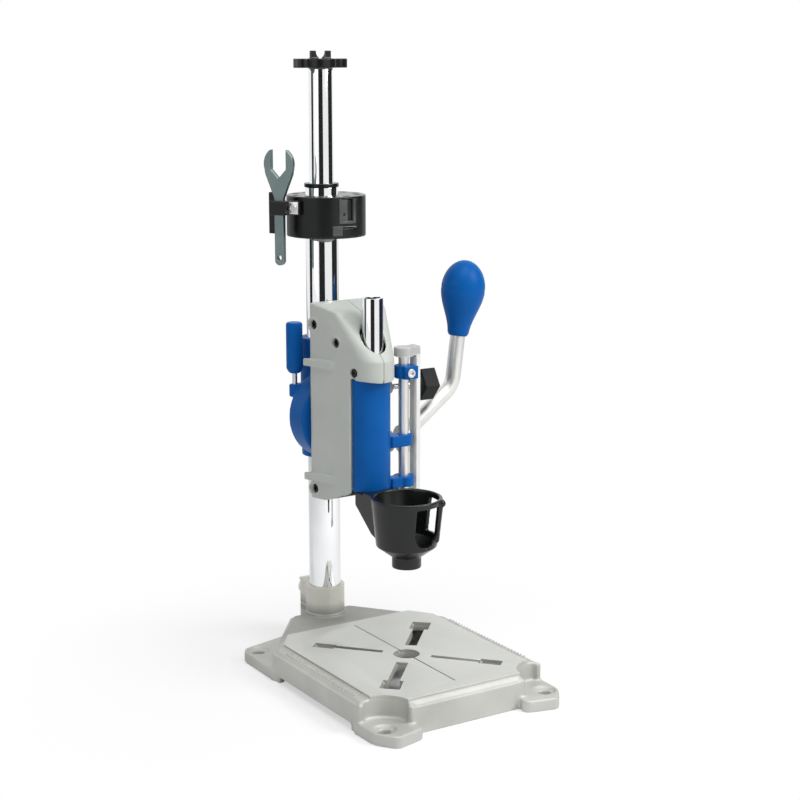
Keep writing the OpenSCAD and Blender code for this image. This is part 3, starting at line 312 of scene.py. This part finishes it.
# Near-black steel for the housing screws; at the flank recesses it also paints the shade of the screw holes.
dark_steel = worked_metal("dark_steel", (0.035, 0.035, 0.033), (0.055, 0.055, 0.052),
    0.45, 0.60, (700, 700, 700), 0.00002)

# %% [markdown]
# Every CAD node gets one of these finishes, also those that stay hidden inside the housing, because the head
# can be taken apart. The names of the record's material slots tell which finish belongs to which node.

# %% Finishes on the CAD nodes
slot_finish = {"cast": cast_skin, "chrome": chrome, "black": black_plastic, "blue": blue_plastic,
    "grey": grey_plastic, "satin": satin, "steel": zinc, "wrench": wrench_zinc, "bronze": bronze}
node_slot = {part["node"]: part["material_slot"] for part in frame["record"]["subparts"]}
dark_screws = ("housing_screws", "bush_screws")
for node, thing in frame["nodes"].items():
    thing.data.materials.clear()
    thing.data.materials.append(dark_steel if node in dark_screws else slot_finish[node_slot[node]])
print("finishes given to", len(frame["nodes"]), "nodes")

# %% [markdown]
# A moulded, cast or turned edge is never razor sharp, and the thin highlight along it is what makes a part
# look solid. The CAD solids have sharp edges, so their copies are merged, their flat triangles are joined
# into whole faces, and their edges are bevelled. All shapes are worked in millimetres and scaled to metres
# when they are laid in the scene.

# %% Helpers for pieces
mm_per_m = 1000
merge_gap = 0.004
flat_within = 0.5
bevel_steps = 2
flat_smooth = 20
net_smooth = 60


def body_of(node):
    return frame["nodes"][node]["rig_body"]


def node_copy(node):
    shape = bmesh.new()
    shape.from_mesh(frame["nodes"][node].data)
    bmesh.ops.scale(shape, vec=(mm_per_m, mm_per_m, mm_per_m), verts=shape.verts)
    bmesh.ops.remove_doubles(shape, verts=shape.verts, dist=merge_gap)
    bmesh.ops.dissolve_limit(shape, angle_limit=math.radians(flat_within), verts=shape.verts,
        edges=shape.edges)
    return shape


def soften(shape, width, sharp=30, where=None):
    edges = []
    for edge in shape.edges:
        if edge.is_manifold and edge.calc_face_angle(0) > math.radians(sharp):
            if where is None or where(edge):
                edges.append(edge)
    bmesh.ops.bevel(shape, geom=edges, offset=width, offset_type="OFFSET", segments=bevel_steps, profile=0.5,
        affect="EDGES", clamp_overlap=False, material=-1)


def lay(name, shape, finish, body, stands_for=(), smooth=32):
    bmesh.ops.scale(shape, vec=(1 / mm_per_m, 1 / mm_per_m, 1 / mm_per_m), verts=shape.verts)
    mesh = bpy.data.meshes.new(name)
    shape.to_mesh(mesh)
    shape.free()
    mesh.polygons.foreach_set("use_smooth", [True] * len(mesh.polygons))
    mesh.set_sharp_from_angle(angle=math.radians(smooth))
    mesh.materials.append(finish)
    piece = bpy.data.objects.new(name, mesh)
    bpy.context.scene.collection.objects.link(piece)
    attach(piece, body)
    if stands_for:
        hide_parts(*stands_for)
    print(name, "on", body, "with", len(mesh.polygons), "faces")


def soft_copy(node, width, finish=None):
    shape = node_copy(node)
    soften(shape, width)
    slot = node_slot[node]
    lay("soft_" + node, shape, finish or slot_finish[slot], body_of(node), (node,), flat_smooth)


print("piece helpers ready")

# %% [markdown]
# The tubes are turned shapes. A profile is drawn once beside the axis and spun round it: outside wall, a
# rounded lip, and the bore. The same helper makes the knob, the grip, the dark disc in the drum window and
# the screw heads.

# %% Turned pieces
weld_gap = 0.001


def turned(profile, centre, axis=(0, 0, 1), steps=72):
    shape = bmesh.new()
    up = Vector(axis).normalized()
    side = up.orthogonal().normalized()
    corners = [shape.verts.new(Vector(centre) + side * r + up * h) for r, h in profile]
    edges = [shape.edges.new(pair) for pair in zip(corners, corners[1:])]
    if profile[0][0] > 0:
        edges.append(shape.edges.new((corners[-1], corners[0])))
    bmesh.ops.spin(shape, geom=corners + edges, cent=centre, axis=up, angle=2 * math.pi, steps=steps,
        use_merge=True)
    bmesh.ops.remove_doubles(shape, verts=shape.verts, dist=weld_gap)
    bmesh.ops.recalc_face_normals(shape, faces=shape.faces)
    return shape


def tube_profile(outer, inner, foot, top, lip=0.6):
    outside = [(inner, foot), (outer - lip, foot), (outer, foot + lip), (outer, top - lip)]
    end = [(outer - lip * 0.3, top - lip * 0.3), (outer - lip, top)]
    bore = [(inner + lip * 0.5, top), (inner, top - lip * 0.5)]
    return outside + end + bore


post_y = 110.0
guide_y = 34.0
tube_pieces = (
    ("lower_tube", "lower_post", 12.7, 11.1, post_y),
    ("mast_tube", "upper_post", 9.525, 8.025, post_y),
    ("feed_tube", "guide_tube", 8.0, 6.0, guide_y))
for name, node, outer, inner, y in tube_pieces:
    low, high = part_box(node)
    profile = tube_profile(outer, inner, low.z * mm_per_m, high.z * mm_per_m)
    lay(name, turned(profile, (0, y, 0)), chrome, body_of(node), (node,))

# %% [markdown]
# Castings and mouldings have round inner corners as well as round edges, because molten metal and plastic
# do not fill a sharp corner. A bevel rounds only the edges. So a copy of such a solid is turned into a fine
# even net with a voxel remesh, and the net is smoothed a few times: every corner then gets its fillet. Rings,
# beads and lips that are joined to the copy before the remesh melt into it as they do in a mould.

# %% Helpers for cast and moulded pieces
ring_corners = 10
arc_steps = 18


def melted(shape, voxel, passes):
    mesh = bpy.data.meshes.new("melt")
    shape.to_mesh(mesh)
    shape.free()
    thing = bpy.data.objects.new("melt", mesh)
    bpy.context.scene.collection.objects.link(thing)
    remesh = thing.modifiers.new("net", "REMESH")
    remesh.mode = "VOXEL"
    remesh.voxel_size = voxel
    graph = bpy.context.evaluated_depsgraph_get()
    net = bmesh.new()
    net.from_mesh(thing.evaluated_get(graph).to_mesh())
    bpy.data.objects.remove(thing)
    bpy.data.meshes.remove(mesh)
    for _ in range(passes):
        bmesh.ops.smooth_vert(net, verts=net.verts, factor=0.5, use_axis_x=True, use_axis_y=True,
            use_axis_z=True)
    return net


def join(shape, extra):
    mesh = bpy.data.meshes.new("extra")
    extra.to_mesh(mesh)
    extra.free()
    shape.from_mesh(mesh)
    bpy.data.meshes.remove(mesh)


def ring(centre, axis, radius, thick):
    profile = []
    for i in range(ring_corners):
        angle = 2 * math.pi * i / ring_corners
        profile.append((radius + thick * math.cos(angle), thick * math.sin(angle)))
    return turned(profile, centre, axis, steps=40)


def ball(centre, radius):
    shape = bmesh.new()
    bmesh.ops.create_icosphere(shape, subdivisions=3, radius=radius, matrix=Matrix.Translation(centre))
    return shape


def post(centre, radius, foot, top):
    profile = [(0, foot), (radius, foot), (radius, top - radius * 0.4), (radius * 0.7, top), (0, top)]
    return turned(profile, centre, steps=24)


def bar(low, high, edge=0.15):
    shape = bmesh.new()
    size = [b - a for a, b in zip(low, high)]
    middle = [(a + b) / 2 for a, b in zip(low, high)]
    bmesh.ops.create_cube(shape, size=1.0, matrix=Matrix.Translation(middle) @ Matrix.Diagonal((*size, 1)))
    soften(shape, edge)
    return shape


def arc_bar(inner, outer, foot, top, start, sweep):
    shape = bmesh.new()
    box = [shape.verts.new((r, 0, z)) for r, z in ((inner, foot), (outer, foot), (outer, top), (inner, top))]
    face = shape.faces.new(box)
    turn = Matrix.Rotation(math.radians(start), 3, "Z")
    bmesh.ops.rotate(shape, verts=shape.verts, cent=(0, 0, 0), matrix=turn)
    bmesh.ops.spin(shape, geom=[face], cent=(0, 0, 0), axis=(0, 0, 1), angle=math.radians(sweep),
        steps=arc_steps)
    return shape


def moulded_copy(node, voxel, passes, extras=(), finish=None):
    shape = node_copy(node)
    bmesh.ops.triangulate(shape, faces=shape.faces)
    for extra in extras:
        join(shape, extra)
    slot = node_slot[node]
    net = melted(shape, voxel, passes)
    lay("moulded_" + node, net, finish or slot_finish[slot], body_of(node), (node,), net_smooth)


print("moulding helpers ready")

# %% [markdown]
# The base is a low hollow casting with a raised work plate, round scoops at its front corners and four feet.
# Small round pillars stand at the ends of the scoops. The plate is milled after casting and keeps crisp
# edges, so it is a piece of its own: its flat top is lifted out of the CAD solid, given a thickness and laid
# on the melted casting, whose own top is sunk below it.

# %% Base casting and work plate
plate_top = 26.0
plate_thick = 2.2
plate_edge = 0.3
plate_end_y = 80
plate_sink = 1.2
pillar_places = ((78.0, -75.4), (48.2, -96.0))
pillar_radius = 2.6
pillar_foot = 4.0
pillar_top = 22.6


def on_plate_top(edge):
    return all(v.co.z > plate_top - 0.05 for v in edge.verts)


plate = node_copy("base_casting")
rest = [f for f in plate.faces if f.normal.z < 0.99 or f.calc_center_median().z < plate_top - 0.1]
bmesh.ops.delete(plate, geom=rest, context="FACES")
skin = bmesh.ops.extrude_face_region(plate, geom=plate.faces[:])
lowered = [v for v in skin["geom"] if isinstance(v, bmesh.types.BMVert)]
bmesh.ops.translate(plate, vec=(0, 0, -plate_thick), verts=lowered)
bmesh.ops.recalc_face_normals(plate, faces=plate.faces)
soften(plate, plate_edge, sharp=40, where=on_plate_top)
lay("work_plate", plate, cast_skin, "stand", smooth=flat_smooth)

base = node_copy("base_casting")
for v in base.verts:
    if abs(v.co.z - plate_top) < 0.2 and v.co.y < plate_end_y:
        v.co.z = plate_top - plate_sink
bmesh.ops.triangulate(base, faces=base.faces)
for side in (-1, 1):
    for x, y in pillar_places:
        join(base, post((side * x, y, 0), pillar_radius, pillar_foot, pillar_top))
base = melted(base, 1.0, 5)
lay("base_body", base, cast_skin, "stand", ("base_casting",), net_smooth)

# %% [markdown]
# The housing is moulded in two halves that meet on the middle plane. A raised ring stands round each screw
# recess on its left flank, and a thin lip hangs over the blue sleeve, lower in the middle than at the sides.
# A bead runs down the front edge of the left flank, and a lip behind it reaches towards the sleeve.

# %% Housing halves
flank_cos = 0.9444
flank_sin = 0.3289
flank_out = Vector((-flank_cos, -flank_sin, 0))
nose_radius = 16.4
lip_inner = 13.9
lip_outer = 16.3
lip_foot = 231.0
lip_top = 234.5
lip_dip = 1.4
lip_dip_turn = 8
lip_dip_rate = 2.4
lip_sweep = 86.4
recess_ring_radius = 5.0
recess_ring_thick = 0.75


def flank_point(y, z):
    return Vector((-(nose_radius + flank_sin * (y - guide_y)) / flank_cos, y, z))


def mouth_lip(start):
    shape = arc_bar(lip_inner, lip_outer, lip_foot, lip_top, start, lip_sweep)
    for v in shape.verts:
        if v.co.z < lip_foot + 1:
            turn = math.degrees(math.atan2(v.co.x, -v.co.y))
            swing = min(180, abs(turn - lip_dip_turn) * lip_dip_rate)
            v.co.z -= lip_dip * (0.5 + 0.5 * math.cos(math.radians(swing)))
    bmesh.ops.translate(shape, vec=(0, guide_y, 0), verts=shape.verts)
    bmesh.ops.recalc_face_normals(shape, faces=shape.faces)
    return shape


recesses = ((72, 270), (51, 258), (72, 141))
recess_rings = []
for y, z in recesses:
    recess_rings.append(ring(flank_point(y, z), flank_out, recess_ring_radius, recess_ring_thick))
edge_bead = post((-17.7, 38.7, 0), 1.3, 143.0, 233.0)
inner_lip = bar((-19.0, 38.9, 145.0), (-13.7, 40.9, 233.0))
moulded_copy("housing_left", 0.62, 5, recess_rings + [mouth_lip(183), edge_bead, inner_lip])
moulded_copy("housing_right", 0.62, 5, [mouth_lip(270.6)])

# Painted shade: these near-black heads sit only a little below the flank, so their colour paints the shade of
# the recesses as well as the dark screws.
head_foot = 18.6
head_radius = 3.4
head_bevel = 0.4
head_sunk = 1.3
socket_radius = 1.7
socket_depth = 1.4
for i, (y, z) in enumerate(recesses):
    head_end = -flank_point(y, z).x - head_sunk
    head_side = [(0, head_foot), (head_radius, head_foot), (head_radius, head_end - head_bevel)]
    head_face = [(head_radius - head_bevel, head_end), (socket_radius, head_end)]
    head_socket = [(socket_radius, head_end - socket_depth), (0, head_end - socket_depth)]
    head = turned(head_side + head_face + head_socket, (0, y, z), (-1, 0, 0), 32)
    lay("recess_head_" + str(i), head, dark_steel, "head")

# %% [markdown]
# The blue clamp, collar and carriage sleeve, the black cup, drum, clip, hanger and lock knob are mouldings
# too. The cup carries a small ball on its upright strap. The wrench is stamped and tumbled, which rounds its
# edges in the same way.

# %% Other mouldings
tool_y = -14.0
strap_turn = math.radians(-47.5)
strap_reach = 27.2
strap_ball_z = 145.8
strap_ball_radius = 2.9
strap_ball_x = strap_reach * math.cos(strap_turn)
strap_ball_y = tool_y + strap_reach * math.sin(strap_turn)
strap_ball = ball((strap_ball_x, strap_ball_y, strap_ball_z), strap_ball_radius)
moulded_copy("tool_cup", 0.55, 4, [strap_ball])
moulded_copy("carriage_sleeve", 0.6, 4)
moulded_copy("column_clamp", 0.8, 4)
moulded_copy("support_collar", 0.6, 3)
moulded_copy("accessory_holder", 0.6, 3)
moulded_copy("wrench_clip", 0.4, 3)
moulded_copy("tool_hanger", 0.4, 3)
moulded_copy("post_bush", 0.4, 2)
moulded_copy("lock_knob", 0.45, 6, finish=matt_black)
moulded_copy("stop_collar", 0.4, 3)
moulded_copy("collet_wrench", 0.35, 3)

# %% [markdown]
# Small raised features sit on the larger pieces: a rule of short bars cast along both rims of the base, two
# ribs drawn along the depth rail, a framed window on the accessory drum and a pressed tab on the wrench clip.
# The window is a paler black as painted reflection, and a small disc of dark plastic in it paints the shade
# of a hole. Most are plain boxes, straight or bent round the drum, with broken edges.

# %% Small raised features
rule_start_y = -62
rule_step = 4.0
rule_count = 26
rule_long_x = 70.4
rule_short_x = 72.0
rule_edge_x = 75.8
rule_half = 0.65
rule_foot = 22.6
rule_top = 24.6
for side, name in ((-1, "rule_left"), (1, "rule_right")):
    rule = bmesh.new()
    for i in range(rule_count):
        inner = rule_long_x if i % 5 == 0 else rule_short_x
        across = sorted((side * inner, side * rule_edge_x))
        y = rule_start_y + i * rule_step
        join(rule, bar((across[0], y - rule_half, rule_foot), (across[1], y + rule_half, rule_top)))
    lay(name, rule, cast_skin, "stand")

rib_root_x = 36.95
rib_face_x = 37.8
rib_width = 1.2
rib_foot = 95.0
rib_top = 245.0
ribs = bmesh.new()
for y in (32.4, 38.4):
    join(ribs, bar((rib_root_x, y, rib_foot), (rib_face_x, y + rib_width, rib_top), 0.25))
lay("rail_ribs", ribs, rail_satin, "head")

# Each bar of the window: inner and outer radius, foot, top, start and sweep in degrees
drum_x = 4.0
window_bars = (
    (29.4, 31.3, 344.4, 363.6, 259.2, 3.0),
    (29.4, 31.3, 344.4, 363.6, 282.4, 4.6),
    (29.4, 31.3, 344.4, 346.6, 261.4, 21.6),
    (29.0, 30.4, 346.0, 363.2, 261.8, 11.5),
    (30.2, 31.4, 335.2, 343.0, 249.4, 14.6))
window = bmesh.new()
for window_bar in window_bars:
    join(window, arc_bar(*window_bar))
bmesh.ops.recalc_face_normals(window, faces=window.faces)
soften(window, 0.25)
bmesh.ops.translate(window, vec=(drum_x, post_y, 0), verts=window.verts)
# The window is a paler black: painted reflection of the light on the glossy panel.
lay("drum_window", window, rubbed_black, "ring")

# Painted shade: a small disc of the drum's black plastic stands in the pale window for a hole, whose darkness
# is shade.
hole_turn = math.radians(267.5)
hole_out = (math.cos(hole_turn), math.sin(hole_turn), 0)
hole_line = [(0, 28.6), (1.25, 28.6), (1.25, 30.3), (1.0, 30.5), (0, 30.5)]
hole_disc = turned(hole_line, (drum_x, post_y, 351.6), hole_out, 24)
lay("drum_stud", hole_disc, black_plastic, "ring")

tab_turn = Matrix.Rotation(math.radians(-60), 3, "Z")
tab = bar((-14.4, -31.6, 351.9), (-2.8, -30.5, 361.2), 0.3)
bmesh.ops.rotate(tab, verts=tab.verts, cent=(0, 0, 0), matrix=tab_turn)
bmesh.ops.translate(tab, vec=(0, post_y, 0), verts=tab.verts)
lay("clip_tab", tab, satin, "ring")

# %% [markdown]
# Sawn and turned metal keeps its shape and only has its edges broken, so these copies are bevelled.

# %% Bevelled metal
soft_widths = {"post_set_screw": 0.5, "hanger_screw": 0.3, "holder_lock_screw": 0.5, "clip_screw": 0.25,
    "collar_screw": 0.2, "lock_pin": 0.3, "depth_rail": 0.4, "depth_rod": 0.6,
    "rail_screws": 0.3, "lever_hub": 0.6, "stop_screw": 0.3, "lock_stud": 0.3, "guide_bush": 0.3,
    "housing_screws": 0.25, "bush_screws": 0.25}
own_finish = {"depth_rail": rail_satin, "housing_screws": dark_steel, "bush_screws": dark_steel}
for node, width in soft_widths.items():
    soft_copy(node, width, own_finish.get(node))

# %% [markdown]
# The lever is a bent rod. A ring of edges is pushed along the first straight run, spun round the centre of
# the bend and pushed along the second run, which ends inside the knob.

# %% Lever rod
lever_root = Vector((42.36, 56.0, 178.5))
lever_start = Vector((43.6, 56.0, 179.45))
lever_corner = Vector((87.4, 56.0, 213.0))
lever_end = Vector((92.6, 56.0, 253.0))
lever_radius = 6.0
lever_in_knob = 11.8
bend_radius = 20.0
way_in = (lever_corner - lever_root).normalized()
way_out = (lever_end - lever_corner).normalized()
bend = way_in.angle(way_out)
tangent = bend_radius * math.tan(bend / 2)


def push(shape, edges, vector):
    new = bmesh.ops.extrude_edge_only(shape, edges=edges)["geom"]
    bmesh.ops.translate(shape, vec=vector, verts=[v for v in new if isinstance(v, bmesh.types.BMVert)])
    return [e for e in new if isinstance(e, bmesh.types.BMEdge) and len(e.link_faces) == 1]


rod = bmesh.new()
rod_end = Matrix.Translation(lever_start) @ way_in.to_track_quat("Z", "Y").to_matrix().to_4x4()
bmesh.ops.create_circle(rod, radius=lever_radius, segments=48, cap_ends=False, matrix=rod_end)
loop = push(rod, rod.edges[:], lever_corner - way_in * tangent - lever_start)
centre = lever_corner - way_in * tangent + bend_radius * Vector((-way_in.z, 0, way_in.x))
bent = bmesh.ops.spin(rod, geom=loop, cent=centre, axis=(0, -1, 0), angle=bend, steps=16)["geom_last"]
loop = [e for e in bent if isinstance(e, bmesh.types.BMEdge)]
push(rod, loop, way_out * ((lever_end - lever_corner).length - tangent + lever_in_knob))
bmesh.ops.holes_fill(rod, edges=[e for e in rod.edges if e.is_boundary], sides=0)
bmesh.ops.remove_doubles(rod, verts=rod.verts, dist=weld_gap)
bmesh.ops.recalc_face_normals(rod, faces=rod.faces)
lay("lever_rod", rod, satin, "lever", ("lever_arm",), smooth=40)

# %% [markdown]
# The knob of the feed lever is an egg of blue plastic, widest above its middle, with a fine parting line
# where the two halves of its mould met. The lock grip is a plain round bar with a tapered foot.

# %% Lever knob and lock grip
knob_axis = Vector((5.2, 0, 40.0)).normalized()
knob_length = 60.0
knob_radius = 17.48
knob_neck = 8.4
knob_widest = 0.62 * knob_length
knob_steps = 40
parting_depth = 0.22
parting_half = 0.45


def knob_width(h):
    if h < knob_widest:
        return knob_neck + (knob_radius - knob_neck) * (1 - math.cos(math.pi * h / knob_widest)) / 2
    return knob_radius * math.sqrt(max(0, 1 - ((h - knob_widest) / (knob_length - knob_widest)) ** 2))


knob_line = [(0, 0.4), (knob_neck - 1.2, 0.0)]
for i in range(1, knob_steps):
    h = knob_length * (1 - (1 - i / knob_steps) ** 1.5)
    groove = parting_depth if abs(h - knob_widest) < parting_half else 0.0
    knob_line.append((knob_width(h) - groove, h))
knob_line.append((0, knob_length))
lay("egg_knob", turned(knob_line, lever_end, knob_axis), blue_plastic, "lever", ("lever_knob",))

grip_foot = [(0, 227.2), (4.0, 227), (5.0, 228), (6.4, 230.5), (6.5, 232)]
grip_top = [(6.5, 265.2), (6.2, 266.3), (5.4, 267), (0, 267)]
grip = turned(grip_foot + grip_top, (-28, 106, 0))
lay("pin_grip", grip, blue_plastic, "grip", ("lock_grip",))

# %% [markdown]
# A plain pale floor carries the stand. It is lit like the stand, so that it keeps the shadow, and it turns
# into plain white further out, where the camera would otherwise see the light fall off. Under the base it
# stays plain, so that no white shows through the slots of the work plate.

# %% Floor
floor_reach = 6.0
white_from = 0.05
white_full = 0.34
white_least = 0.5
under_base_x = 0.070
under_base_y = 0.092
floor_mesh = bpy.data.meshes.new("floor")
floor_shape = bmesh.new()
bmesh.ops.create_grid(floor_shape, x_segments=1, y_segments=1, size=floor_reach)
floor_shape.to_mesh(floor_mesh)
floor_shape.free()
floor = bpy.data.objects.new("floor", floor_mesh)
bpy.context.scene.collection.objects.link(floor)

paper = bpy.data.materials.new("paper_floor")
paper.use_nodes = True
tree = paper.node_tree
tree.nodes.clear()
output = tree.nodes.new("ShaderNodeOutputMaterial")
matt = tree.nodes.new("ShaderNodeBsdfDiffuse")
matt.inputs["Color"].default_value = (0.95, 0.95, 0.95, 1)
glow = tree.nodes.new("ShaderNodeEmission")
glow.inputs["Strength"].default_value = 1.0
coords = tree.nodes.new("ShaderNodeTexCoord")
distance = tree.nodes.new("ShaderNodeVectorMath")
distance.operation = "LENGTH"
tree.links.new(coords.outputs["Object"], distance.inputs[0])
fade = tree.nodes.new("ShaderNodeMapRange")
fade.interpolation_type = "SMOOTHSTEP"
fade.inputs["From Min"].default_value = white_from
fade.inputs["From Max"].default_value = white_full
fade.inputs["To Min"].default_value = white_least
tree.links.new(distance.outputs["Value"], fade.inputs["Value"])
offset = tree.nodes.new("ShaderNodeVectorMath")
offset.operation = "ABSOLUTE"
tree.links.new(coords.outputs["Object"], offset.inputs[0])
sides = tree.nodes.new("ShaderNodeSeparateXYZ")
tree.links.new(offset.outputs["Vector"], sides.inputs["Vector"])
beside = reckon(tree, "GREATER_THAN", sides.outputs["X"], under_base_x)
before = reckon(tree, "GREATER_THAN", sides.outputs["Y"], under_base_y)
clear = reckon(tree, "MAXIMUM", beside, before)
bright = reckon(tree, "MULTIPLY", fade.outputs["Result"], clear)
sight = tree.nodes.new("ShaderNodeLightPath")
seen = reckon(tree, "MULTIPLY", bright, sight.outputs["Is Camera Ray"])
mix_shaders(tree, seen, matt.outputs["BSDF"], glow.outputs["Emission"], output)
floor_mesh.materials.append(paper)
print("floor of", floor.dimensions.x, "m")

# %% [markdown]
# The light is a large soft box at the front right, one overhead and a weaker one at the left. The world is
# white to the camera and to mirrors, and gives a plain level of light to everything else.

# %% Lamps and world
lamp_aim = Vector((0, 0.03, 0.2))
room_light = 0.35


def soft_box(name, place, size, power):
    data = bpy.data.lights.new(name, "AREA")
    data.shape = "SQUARE"
    data.size = size
    data.energy = power
    lamp = bpy.data.objects.new(name, data)
    lamp.location = place
    lamp.rotation_euler = (lamp_aim - Vector(place)).to_track_quat("-Z", "Y").to_euler()
    bpy.context.scene.collection.objects.link(lamp)


soft_box("key_box", (1.0, -1.25, 1.45), 0.9, 25)
soft_box("left_box", (-1.4, -0.3, 0.9), 0.8, 1.2)
soft_box("top_box", (-0.1, -0.5, 1.7), 0.9, 12)

world = bpy.data.worlds.new("studio")
bpy.context.scene.world = world
world.use_nodes = True
tree = world.node_tree
tree.nodes.clear()
output = tree.nodes.new("ShaderNodeOutputWorld")
room = tree.nodes.new("ShaderNodeBackground")
room.inputs["Color"].default_value = (1, 1, 1, 1)
room.inputs["Strength"].default_value = room_light
white = tree.nodes.new("ShaderNodeBackground")
white.inputs["Color"].default_value = (1, 1, 1, 1)
white.inputs["Strength"].default_value = 1.0
sight = tree.nodes.new("ShaderNodeLightPath")
shine = reckon(tree, "MAXIMUM", sight.outputs["Is Camera Ray"], sight.outputs["Is Glossy Ray"])
through = reckon(tree, "MAXIMUM", shine, sight.outputs["Is Transmission Ray"])
mix_shaders(tree, through, room.outputs["Background"], white.outputs["Background"], output)
print("world lit at", room_light)

# %% [markdown]
# Chrome shows nothing of its own, only the room. A photographer stands black flags beside the camera, so
# that a tube gets the dark stripes that make it read as round metal. The flags are seen only by reflections.

# %% Black flags
flag_middle = Vector((0, 0.08, 0))
flag_top = 2.4
flag_cloth = bpy.data.materials.new("flag_cloth")
flag_cloth.use_nodes = True
cloth_shader = flag_cloth.node_tree.nodes["Principled BSDF"]
cloth_shader.inputs["Base Color"].default_value = (0.015, 0.015, 0.015, 1)
cloth_shader.inputs["Roughness"].default_value = 0.9


def black_flag(name, bearing, reach, width):
    out = view_back * math.cos(math.radians(bearing)) + view_right * math.sin(math.radians(bearing))
    across = Vector((-out.y, out.x, 0)) * (width / 2)
    foot = out * reach + flag_middle
    rise = Vector((0, 0, flag_top))
    corners = (foot - across, foot + across, foot + across + rise, foot - across + rise)
    shape = bmesh.new()
    shape.faces.new([shape.verts.new(corner) for corner in corners])
    mesh = bpy.data.meshes.new(name)
    shape.to_mesh(mesh)
    shape.free()
    mesh.materials.append(flag_cloth)
    flag = bpy.data.objects.new(name, mesh)
    bpy.context.scene.collection.objects.link(flag)
    flag.visible_camera = False
    flag.visible_diffuse = False
    flag.visible_shadow = False
    flag.visible_transmission = False


black_flag("flag_back", 1, 2.6, 1.95)
black_flag("flag_right", 105, 2.4, 2.6)
black_flag("flag_left", -86, 2.4, 1.0)
print("three flags stand round the stand")

# %% [markdown]
# The picture uses the plain Standard view.

# %% Finish
bpy.context.scene.view_settings.view_transform = "Standard"
